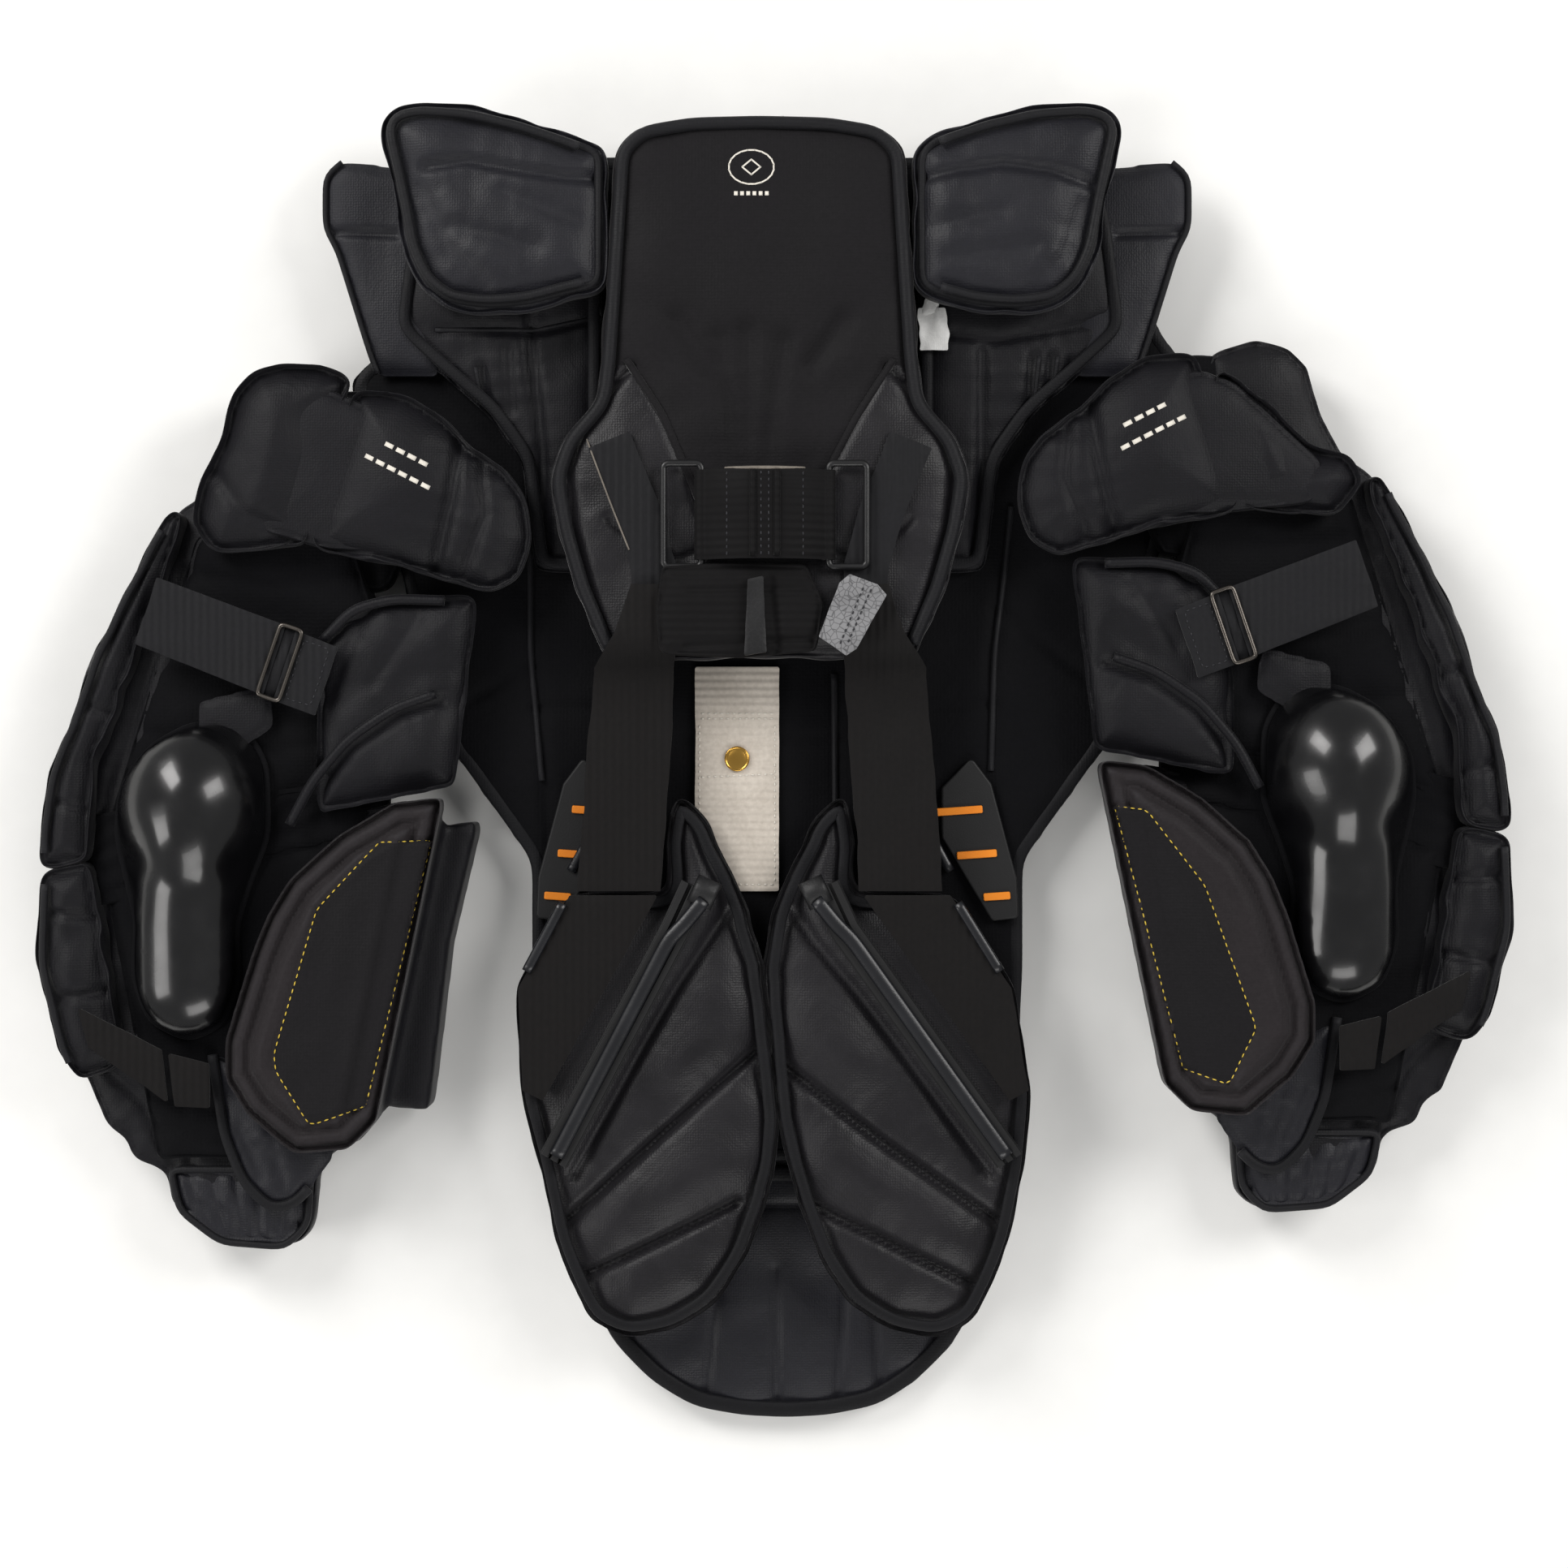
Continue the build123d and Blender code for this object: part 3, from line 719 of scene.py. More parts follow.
def hard(name, dark, light, rough, gloss=0.5, grit=1.2, bump=0.15, coat=0.0, metal=0.0, scratch=0.0, spread=0.06):
    """Moulded, coated or metal surfaces: grit is the size of their grain in millimetres."""
    shader = {"Metallic": metal, "Coat Weight": coat, "Coat Roughness": 0.06}
    if not metal:
        shader.update({"Specular IOR Level": gloss, "IOR": 1.5})
    material, tree, body, where = finish_named(name, **shader)
    grain = add(tree, "ShaderNodeTexNoise", {"Vector": (where, "Object"), "Scale": per_metre(grit), "Detail": 5.0})
    cloud = add(tree, "ShaderNodeTexNoise", {"Vector": (where, "Object"), "Scale": per_metre(22.0), "Detail": 4.0})
    tone = add(tree, "ShaderNodeMix", {0: (cloud, "Fac"), 6: linear(dark), 7: linear(light)}, data_type="RGBA")
    colour = (tone, 2)
    if scratch:
        cracks = add(
            tree, "ShaderNodeTexVoronoi",
            {"Vector": (where, "Object"), "Scale": per_metre(3.4), "Randomness": 1.0}, feature="DISTANCE_TO_EDGE",
        )
        thin = add(
            tree, "ShaderNodeMapRange",
            {"Value": (cracks, "Distance"), "From Min": 0.0, "From Max": 0.09, "To Min": scratch, "To Max": 0.0},
        )
        cracked_tone = {0: (thin, "Result"), 6: colour, 7: linear("#1c1c1e")}
        colour = (add(tree, "ShaderNodeMix", cracked_tone, data_type="RGBA"), 2)
    tree.links.new(colour[0].outputs[colour[1]], body.inputs["Base Color"])
    uneven = add(
        tree, "ShaderNodeMapRange",
        {"Value": (cloud, "Fac"), "From Min": 0.3, "From Max": 0.7, "To Min": rough, "To Max": rough + spread},
    )
    tree.links.new(uneven.outputs["Result"], body.inputs["Roughness"])
    relief = add(tree, "ShaderNodeBump", {"Height": (grain, "Fac"), "Strength": bump, "Distance": metres(0.3)})
    tree.links.new(relief.outputs["Normal"], body.inputs["Normal"])
    return material


FINISHES = {}


def skin(kind):
    """The finish of that name, made once."""
    if kind not in FINISHES:
        FINISHES[kind] = RECIPES[kind]()
    return FINISHES[kind]


RECIPES = {
    # Oxford nylon over foam: a tight plain weave with a soft shine on its folds.
    "quilted nylon": lambda: fabric("oxford_nylon_black", "#0b0a0d", "#151318", 1.5, 0.47, 0.36, 0.14, wrinkle=0.06),
    "deep nylon": lambda: fabric("oxford_nylon_deep_black", "#050508", "#0c0b11", 1.5, 0.56, 0.26, 0.06, wrinkle=0.12),
    "grey nylon": lambda: fabric("oxford_nylon_grey", "#101015", "#18181f", 1.5, 0.52, 0.34, 0.08, wrinkle=0.1),
    # Brushed knit: loops that drink the light, with lint on top.
    "knit": lambda: fabric("brushed_knit_charcoal", "#09080a", "#141215", 1.9, 0.72, 0.2, 0.2, bump=0.7),
    # Stretch mesh lining: the darkest cloth, dull.
    "lining": lambda: fabric("stretch_mesh_black", "#050507", "#0a0a0d", 2.2, 0.78, 0.12, 0.05, bump=0.7, wrinkle=0.15),
    "binding": lambda: fabric("grosgrain_binding_black", "#070709", "#0e0e12", 1.6, 0.62, 0.22, 0.04, pale_rims=0.1),
    "piping": lambda: fabric("piping_cloth_charcoal", "#060608", "#0d0d11", 1.6, 0.6, 0.24, 0.03, pale_rims=0.1),
    # Ribbed elastic: fine cross ribs, worn a little brown.
    "elastic": lambda: fabric("ribbed_elastic_black", "#0d0c0c", "#151313", 2.4, 0.72, 0.16, 0.08, ribs=0.0, bump=0.8),
    "elastic across": lambda: fabric(
        "ribbed_elastic_across", "#070607", "#0d0c0d", 2.4, 0.7, 0.16, 0.05, ribs=math.radians(90), bump=0.8
    ),
    "light elastic": lambda: fabric(
        "ribbed_elastic_worn", "#111113", "#1a1a1d", 2.4, 0.66, 0.2, 0.1, ribs=0.0, bump=0.8
    ),
    # Brushed cover of the forearm blocks: a warmer black, paler along its convex edges.
    "block cloth": lambda: fabric("brushed_cloth_brown_black", "#171315", "#242022", 1.7, 0.66, 0.22, 0.14, pale_rims=0.15),
    # A pale grey line laid along one edge of the upper elastics and along the far edge of the belt bridge.
    "pale edge line": lambda: fabric("elastic_edge_pale", "#5f5952", "#8a837a", 0.9, 0.7, 0.2, 0.1),
    # Cotton webbing: pale, its ribs catch the light, greyed where hands pull it.
    "webbing": lambda: fabric(
        "cotton_webbing_natural", "#a89f94", "#d8d0c5", 2.3, 0.8, 0.2, 0.2, grain=0.3, ribs=math.radians(90), bump=1.0
    ),
    "label": lambda: fabric("satin_label_white", "#d6d6d4", "#f0f0ee", 1.2, 0.5, 0.4, 0.1, wrinkle=0.3),
    "thread black": lambda: fabric("thread_polyester_black", "#1c1c20", "#2b2b30", 0.8, 0.5, 0.4, 0.1),
    "thread yellow": lambda: fabric("thread_polyester_yellow", "#b89a28", "#dcc04a", 0.8, 0.5, 0.4, 0.1),
    "thread white": lambda: fabric("thread_cotton_white", "#c9c4ba", "#e6e1d6", 0.8, 0.6, 0.3, 0.1),
    # Injection moulded ABS, polished: near black with mirror-like glints.
    "gloss shell": lambda: hard(
        "abs_polished_black", "#050506", "#0b0b0d", 0.18, 0.5, 8.0, 0.05, coat=0.22, spread=0.12
    ),
    # Moulded EVA foam: satin with a faint pebble.
    "moulded foam": lambda: hard("eva_foam_moulded_charcoal", "#0c0d10", "#15161b", 0.3, 0.5, 1.6, 0.25),
    "moulded plate": lambda: hard("nylon_moulded_black", "#070708", "#101012", 0.5, 0.4, 1.0, 0.25),
    "orange rubber": lambda: hard("rubber_moulded_orange", "#d9730e", "#f39420", 0.5, 0.4, 1.4, 0.2),
    "black vinyl": lambda: hard("vinyl_coated_black", "#070708", "#131315", 0.45, 0.4, 1.8, 0.5, scratch=0.4),
    # Worn vinyl: the coating has cracked to a pale grey net.
    "grey vinyl": lambda: hard("vinyl_worn_grey", "#5c5c5e", "#8e8e90", 0.5, 0.45, 2.0, 0.9, scratch=0.75),
    # Brass: pressed and lacquered, it mirrors the room in gold.
    "brass": lambda: hard("brass_pressed", "#b88a3a", "#d8ae5c", 0.2, grit=0.9, bump=0.1, metal=1.0),
    "nickel": lambda: hard("nickel_plated_wire", "#4a4642", "#6a6560", 0.3, grit=0.9, bump=0.12, metal=1.0),
    "black wire": lambda: hard("steel_wire_black_coated", "#0b0b0c", "#161618", 0.35, 0.5, 1.1, 0.15),
    "floor": lambda: hard("painted_board_white", "#eeeeec", "#f4f4f2", 0.6, 0.2, 6.0, 0.02),
}


# ---------------------------------------------------------------- settings
def length_setting(name, words, value):
    return bpy.props.FloatProperty(name=name, description=words, default=metres(value), unit="LENGTH", min=0.0)


class StuffingSettings(bpy.types.PropertyGroup):
    """How full and how creased the pads are."""

    wing_puff: length_setting("Wing puff", "How far air may swell the kidney wings", 12.0)
    pad_puff: length_setting("Pad puff", "How far air may swell the other pads", 5.0)
    channel_depth: length_setting("Channel depth", "Depth of the sewn channels", 6.5)
    seam_depth: length_setting("Seam depth", "Depth of the sewn seams", 2.4)
    pucker: length_setting("Pucker", "Height of the gathers beside a seam", 0.7)


class TrimSettings(bpy.types.PropertyGroup):
    """Sizes of the piping, the bindings and the stitching."""

    piping_radius: length_setting("Piping radius", "Radius of the piped edges of arm pads and cuffs", 2.2)
    binding_width: length_setting("Binding width", "Width of the bound edges", 6.4)
    binding_thickness: length_setting("Binding thickness", "Thickness of the bound edges", 3.2)
    stitch_length: length_setting("Stitch length", "Length of one contrast stitch", 3.2)
    stitch_pitch: length_setting("Stitch pitch", "Distance from one contrast stitch to the next", 4.6)


class StageSettings(bpy.types.PropertyGroup):
    """The floor, the lights and the camera."""

    camera_height: bpy.props.FloatProperty(
        name="Camera height", description="Height of the camera over the floor", default=1.85, unit="LENGTH", min=0.5
    )
    view_width: bpy.props.FloatProperty(
        name="View width", description="Width of what the camera sees at the pads", default=0.927, unit="LENGTH",
        min=0.2,
    )
    light_colour: bpy.props.FloatVectorProperty(
        name="Light colour", description="Colour of the soft lights", default=(1.0, 0.985, 0.97), size=3,
        subtype="COLOR",
    )


def stuffing():
    return bpy.context.scene.protector_stuffing


def trim():
    return bpy.context.scene.protector_trim


def size_of(value):
    """A setting in metres as millimetres."""
    return value * 1000.0


def piped(name, node, radius, inset, drop, kind="piping"):
    """Round piping along the upper edge of a pad."""
    ring = drawn_in(even(rim(node), 4.0, True, 3), inset)
    ring[:, 2] = height(node)[1] - drop
    return covered(cord_along(name, [ring], radius), kind)


def edged(name, node, side):
    """Piping along the outer side only of a long arm pad."""
    radius, drop = size_of(trim().piping_radius), 5.0
    ring = drawn_in(even(rim(node), 3.0, True, 3), 1.0)
    line = []
    for y in np.arange(ring[:, 1].min() + 4, ring[:, 1].max() - 3, 5.0):
        near = ring[np.abs(ring[:, 1] - y) < 4.0]
        line.append((side * (side * near[:, 0]).max(), y, height(node)[1] - drop))
    return covered(cord_along(name, [even(line, 4.0, round_off=3)], radius, closed=False), "piping")


def bound(name, node, width=None, thickness=None, inset=2.0, drop=4.0, seed=5, moved=None):
    """A bound edge: a flat tape rolled over the edge of a pad. moved shifts the tape with its pad."""
    ring = drawn_in(even(rim(node), 5.0, True, 3), inset)
    ring[:, 2] = height(node)[1] - drop
    ring[:, 2] += 0.5 * ripples(ring, 30.0, seed)
    if moved:
        ring = moved(ring)
    flat = (width or size_of(trim().binding_width), thickness or size_of(trim().binding_thickness))
    return covered(cord_along(name, [ring], flat=flat), "binding")


# ---------------------------------------------------------------- operators
class PROTECTOR_OT_stage(bpy.types.Operator):
    """Make the floor, the soft lights and the camera"""

    bl_idname = "protector.stage"
    bl_label = "Stage"

    def execute(self, context):
        settings = context.scene.protector_stage
        shape = bmesh.new()
        bmesh.ops.create_grid(shape, x_segments=8, y_segments=8, size=9.0)
        bmesh.ops.translate(shape, verts=shape.verts, vec=(0, 0, -0.0012))
        covered(made("floor", shape), "floor")
        world = bpy.data.worlds.new("studio")
        context.scene.world = world
        world.use_nodes = True
        world.node_tree.nodes["Background"].inputs["Color"].default_value = (1.0, 1.0, 1.0, 1.0)
        world.node_tree.nodes["Background"].inputs["Strength"].default_value = 0.34
        for name, place, size, power in (
            ("window_light", (-1.15, 1.15, 1.35), (0.7, 1.2), 26.0),
            ("side_light", (1.35, 0.75, 1.35), (0.7, 1.1), 20.0),
            ("low_light", (0.35, -1.75, 1.35), (1.5, 0.8), 16.0),
            ("left_light", (-1.75, -0.5, 1.3), (0.7, 1.0), 12.0),
        ):
            lamp = bpy.data.lights.new(name, "AREA")
            lamp.shape = "RECTANGLE"
            lamp.size, lamp.size_y = size
            lamp.energy = power
            lamp.color = settings.light_colour
            holder = bpy.data.objects.new(name, lamp)
            holder.location = place
            holder.rotation_euler = (-Vector(place)).to_track_quat("-Z", "Y").to_euler()
            context.scene.collection.objects.link(holder)
        lens = bpy.data.cameras.new("camera")
        lens.sensor_width = 36.0
        pad_level = 0.05
        lens.lens = 36.0 * (settings.camera_height - pad_level) / settings.view_width
        lens.clip_start, lens.clip_end = 0.05, 30.0
        camera = bpy.data.objects.new("camera", lens)
        camera.location = (0.004, -0.008, settings.camera_height)
        context.scene.collection.objects.link(camera)
        context.scene.camera = camera
        context.scene.view_settings.view_transform = "Standard"
        return {"FINISHED"}


class PROTECTOR_OT_front(bpy.types.Operator):
    """Make the front guards, the core, the yokes, the flaps and the collar"""

    bl_idname = "protector.front"
    bl_label = "Front and Core"

    def execute(self, context):
        depth = size_of(stuffing().seam_depth)
        for name in ("left_chest_guard", "right_chest_guard", "abdomen_guard"):
            piece = pad(name + "_pad", name, voxel=7.0, crown=2.0, pucker=0.0)
            placed(covered(piece, "quilted nylon"), "torso", [name])
        seams = [
            ([(-148, 208), (-146, 130), (-146, 70), (-139, -6), (-136, -60)], depth, 3.0),
            ([(138, 160), (133, 110), (128, 72), (126, 0), (132, -60)], depth, 3.0),
            ([(-147, 62), (-182, 44)], depth, 3.0),
            ([(-145, 38), (-80, 36)], depth, 3.0),
            ([(128, 40), (62, 38)], depth, 3.0),
            ([(133, 96), (186, 56)], depth, 3.0),
            ([(-28, -20), (-26, -230)], 1.5, 3.0),
            ([(34, 60), (36, -60), (38, -230)], 1.5, 3.0),
            ([(-60, 20), (60, 20)], 1.0, 3.0),
        ]
        core = pad("chest_core_pad", "chest_core", voxel=6.5, crown=3.0, seams=seams, pucker=0.5, waves=0.9)
        level = surface(core)
        edges = [
            even([(-150, 206), (-148, 130), (-148, 70), (-141, -6)], 5.0, round_off=4),
            even([(140, 158), (135, 110), (130, 72), (128, 0)], 5.0, round_off=4),
            even([(34, 58), (35, -60)], 5.0, round_off=2),
        ]
        ridges = cord_along("core_piping", [resting(path, level, 0.6) for path in edges], 1.9, closed=False)
        placed(covered(core, "lining"), "torso", ["chest_core"])
        placed(covered(ridges, "piping"), "torso")
        placed(bound("core_binding", "chest_core", width=8.0, thickness=5.0, drop=4.5), "torso")

        collar = pad("collar_pad", "collar_guard", voxel=4.0, crown=3.0, pucker=0.0)
        placed(covered(collar, "quilted nylon"), "torso", ["collar_guard"])
        strip = even([(-54, 381.5), (-30, 385.5), (4, 386.2)], 4.0, round_off=2)
        band = [(x, y, height("collar_guard")[1] - 0.6) for x, y in strip]
        edge = cord_along("collar_trim", [band], closed=False, flat=(7.0, 2.0))
        placed(covered(edge, "label"), "torso")

        yoke_seams = {
            -1: [
                ([(-138, 130), (-140, 190), (-146, 250), (-150, 300)], 4.0, 3.0),
                ([(-176, 240), (-172, 214), (-164, 196), (-150, 182)], 4.0, 2.6),
                ([(-193, 236), (-190, 214), (-181, 196)], 3.0, 2.4),
                ([(-104, 270), (-140, 262), (-200, 262)], 3.0, 3.0),
                ([(-160, 250), (-158, 214)], 2.5, 3.0),
            ],
            1: [
                ([(118, 130), (122, 190), (122, 250)], 4.0, 3.0),
                ([(152, 246), (149, 214), (146, 186), (136, 168)], 3.6, 2.2),
                ([(163, 246), (160, 214), (158, 190)], 3.6, 2.2),
                ([(174, 244), (172, 220), (170, 200)], 3.6, 2.2),
                ([(86, 262), (130, 256), (196, 268)], 3.0, 3.0),
            ],
        }
        for name, side in SIDES:
            node = f"{name}_shoulder_yoke"
            yoke = pad(
                f"{node}_pad", node, voxel=4.5, crown=4.0, seams=yoke_seams[side], pucker=0.7,
                puff=size_of(stuffing().pad_puff) * 0.6, waves=0.8, seed=7 + side,
            )
            level = surface(yoke)
            lines = [even(path, 4.0, round_off=3) for path, _, _ in yoke_seams[side][1:4]]
            fine = [[(x + 3.5 * side, y) for x, y in line] for line in lines]
            trim_lines = cord_along(
                f"{name}_yoke_piping", [resting(path, level, 0.2) for path in fine], 1.3, closed=False
            )
            placed(covered(yoke, "deep nylon"), "torso", [node])
            placed(covered(trim_lines, "piping"), "torso")
            placed(bound(f"{name}_yoke_binding", node, width=7.0, thickness=4.5, drop=4.0), "torso")

            node = f"{name}_shoulder_flap"
            middle = -12.0
            tuck = [(side * 214 + middle, 319), (side * 262 + middle, 321)]
            outside = [(184, 356), (247, 362), (257, 354), (257, 322), (250, 311), (231, 250), (226, 236), (190, 236)]
            flap = pad(
                f"{node}_pad", node, voxel=4.0, crown=1.5, seams=[(tuck, 3.6, 2.2)], pucker=0.2, waves=1.0,
                seed=11 + side, outline=[(side * x + middle, y) for x, y in outside], levels=(28.5, 39.5),
            )
            placed(covered(flap, "grey nylon"), "torso", [node])
            line = even([(side * x + middle, y) for x, y in outside[1:-1]], 4.0, round_off=3)
            line = np.column_stack([line, np.full(len(line), 37.6)])
            edge = cord_along(f"{name}_flap_piping", [line], 1.7, closed=False)
            placed(covered(edge, "piping"), "torso")

        label = strap("care_label_tag", "care_label", wave=3.0, wave_length=16.0, cut=2.0, edge_wave=2.4)
        placed(covered(label, "label"), "torso", ["care_label"])
        low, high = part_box("care_label")
        x, y, z = low[0] * 1000.0, high[1] * 1000.0, high[2] * 1000.0
        loop = pad("care_label_loop", None, voxel=1.2, crown=0.5, crown_reach=3.0, waves=1.0, wave_length=11.0, seed=19,
                   outline=[(x + 1, y - 4), (x + 4, y + 7), (x + 8, y + 12), (x + 13, y + 9), (x + 11, y - 4)],
                   levels=(z - 1.0, z + 2.0), grow=0.2, side_pull=0.3)
        placed(covered(loop, "label"), "torso")
        return {"FINISHED"}


class PROTECTOR_OT_ladders(bpy.types.Operator):
    """Make the moulded side ladders with their orange bars"""

    bl_idname = "protector.ladders"
    bl_label = "Side Ladders"

    def execute(self, context):
        for name, side in SIDES:
            node = f"{name}_ladder_plate"
            plate = eased(f"{name}_ladder", node, width=1.2)
            placed(covered(plate, "moulded plate"), "torso", [node])
            top = height(node)[1]
            ridge = even([(x, y, top + 0.5) for x, y in on_back([(101, -38), (113, -60)], side)], 4.0)
            rail = cord_along(f"{name}_ladder_rail", [ridge], closed=False, flat=(6.0, 4.5))
            placed(covered(rail, "moulded foam"), "torso")
        bars = eased("ladder_bars", "ladder_inserts", width=0.6)
        placed(covered(bars, "orange rubber"), "torso", ["ladder_inserts"])
        return {"FINISHED"}


class PROTECTOR_OT_back_pad(bpy.types.Operator):
    """Make the long back pad with its border, seams and printed mark"""

    bl_idname = "protector.back_pad"
    bl_label = "Back Pad"

    def execute(self, context):
        node = "spine_pad"
        height_line = 72.0
        panel = [
            [(-92, 352), (-94, 300), (-96, 246), (-98, 226), (-84, 236), (-66, 206), (-50, 168), (-44, 150)],
            [(72, 352), (74, 300), (76, 246), (78, 226), (64, 236), (46, 206), (26, 168), (20, 150)],
        ]
        wings = [
            [(-84, 236), (-112, 206), (-122, 176), (-118, 140), (-104, 84)],
            [(64, 236), (94, 206), (103, 176), (99, 140), (84, 84)],
            [(-98, 146), (-60, 122), (-30, 132)],
            [(78, 146), (44, 122), (16, 132)],
        ]
        creases = [
            [(-34, 252), (-26, 214), (-24, 176)],
            [(-18, 256), (-16, 214), (-16, 172)],
            [(4, 250), (-2, 214), (-6, 176)],
            [(-58, 262), (-40, 236)],
            [(38, 262), (20, 236)],
        ]
        seams = [(path, 3.0, 2.6) for path in panel] + [(path, 2.6, 2.6) for path in wings]
        seams += [(path, 4.6, 6.0) for path in creases]
        straps = [rim("upper_straps", "low")]
        piece = pad(
            "back_pad", node, voxel=4.5, crown=5.0, crown_reach=10.0, seams=seams, pucker=0.35,
            waves=0.7, puff=3.0, sink=2.0, flat_under=straps, seed=21,
        )
        level = surface(piece)
        covered(piece, "knit")
        lower = [
            (-84, 236), (-66, 206), (-50, 168), (-36, 150), (16, 150), (26, 168), (46, 206), (64, 236), (140, 236),
            (140, 60), (-160, 60), (-160, 236),
        ]
        painted(piece, lower, skin("quilted nylon"))
        placed(piece, "back_harness", [node])
        folds = [[(-88, 240), (-66, 206), (-50, 168), (-42, 148)], [(68, 240), (46, 206), (26, 168), (19, 148)]]
        folds = [resting([tuple(q) for q in even(fold, 4.0, round_off=3)], level, 0.4) for fold in folds]
        welts = cord_along("back_pad_welts", folds, 2.3, closed=False)
        placed(covered(welts, "knit"), "back_harness")
        ring = drawn_in(even(rim(node), 4.0, True, 3), 0.6)
        ring[:, 2] = height(node)[1] - 3.2
        foot = ring[:, 1] < height_line
        turn = int(np.flatnonzero(foot & ~np.roll(foot, -1))[0]) + 1
        ring = np.roll(ring, -turn, axis=0)
        ring = ring[: int(np.count_nonzero(~foot))]
        piping = cord_along("back_pad_piping", [ring], 3.8, closed=False)
        placed(covered(piping, "piping"), "back_harness")
        mark_x, mark_y = -15.0, 351.0
        wide, tall = 13.0, 10.0
        blocks = []
        for a in range(0, 360, 18):
            c, s = math.cos(math.radians(a)), math.sin(math.radians(a))
            turn = math.degrees(math.atan2(tall * c, -wide * s))
            blocks.append((mark_x + wide * c, mark_y + tall * s, 4.4, 0.9, turn))
        diamond = ((-2.7, 2.2, 40), (2.7, 2.2, -40), (-2.7, -2.2, -40), (2.7, -2.2, 40))
        blocks += [(mark_x + dx, mark_y + dy, 7.4, 0.9, turn) for dx, dy, turn in diamond]
        blocks += [(mark_x - 9 + 3.6 * k, mark_y - 15.5, 2.2, 2.4, 0) for k in range(6)]
        mark = covered(printed("back_pad_mark", blocks, level), "thread white")
        placed(mark, "back_harness")
        return {"FINISHED"}


class PROTECTOR_OT_floaters(bpy.types.Operator):
    """Make the two shoulder floaters"""

    bl_idname = "protector.floaters"
    bl_label = "Shoulder Floaters"

    def execute(self, context):
        arcs = {
            -1: [(-205, 352), (-180, 356), (-150, 350), (-122, 346), (-106, 346)],
            1: [(84, 346), (104, 350), (132, 354), (160, 350), (184, 342)],
        }
        folds = {
            -1: [[(-208, 340), (-190, 300), (-170, 284)], [(-160, 338), (-120, 322)], [(-190, 318), (-140, 306)]],
            1: [[(178, 330), (168, 300), (150, 284)], [(90, 318), (130, 326)], [(100, 300), (150, 306)]],
        }
        for name, side in SIDES:
            node = f"{name}_floater"
            seams = [(arcs[side], 4.0, 3.0)] + [(path, 1.6, 5.0) for path in folds[side]]
            piece = pad(
                f"{node}_pad", node, voxel=4.5, crown=7.0, crown_reach=9.0, seams=seams, pucker=0.5,
                puff=size_of(stuffing().pad_puff), waves=1.0, seed=31 + side,
            )
            placed(covered(piece, "grey nylon"), f"{name}_floater_panel", [node])
            ring = drawn_in(even(rim(node), 4.0, True, 3), 1.8)
            ring[:, 2] = height(node)[1] - 5.0
            tucked = side * ring[:, 0] < (side * ring[:, 0]).min() + 6.0
            ring = np.roll(ring, -int(np.flatnonzero(tucked & ~np.roll(tucked, -1))[0]) - 1, axis=0)
            ring = ring[: int(np.count_nonzero(~tucked))]
            ring = covered(cord_along(f"{name}_floater_piping", [ring], 2.6, closed=False), "piping")
            second = piped(f"{name}_floater_low_piping", node, radius=2.4, inset=0.2, drop=12.0, kind="binding")
            edge = joined(f"{name}_floater_edges", [ring, second])
            placed(edge, f"{name}_floater_panel")
        return {"FINISHED"}


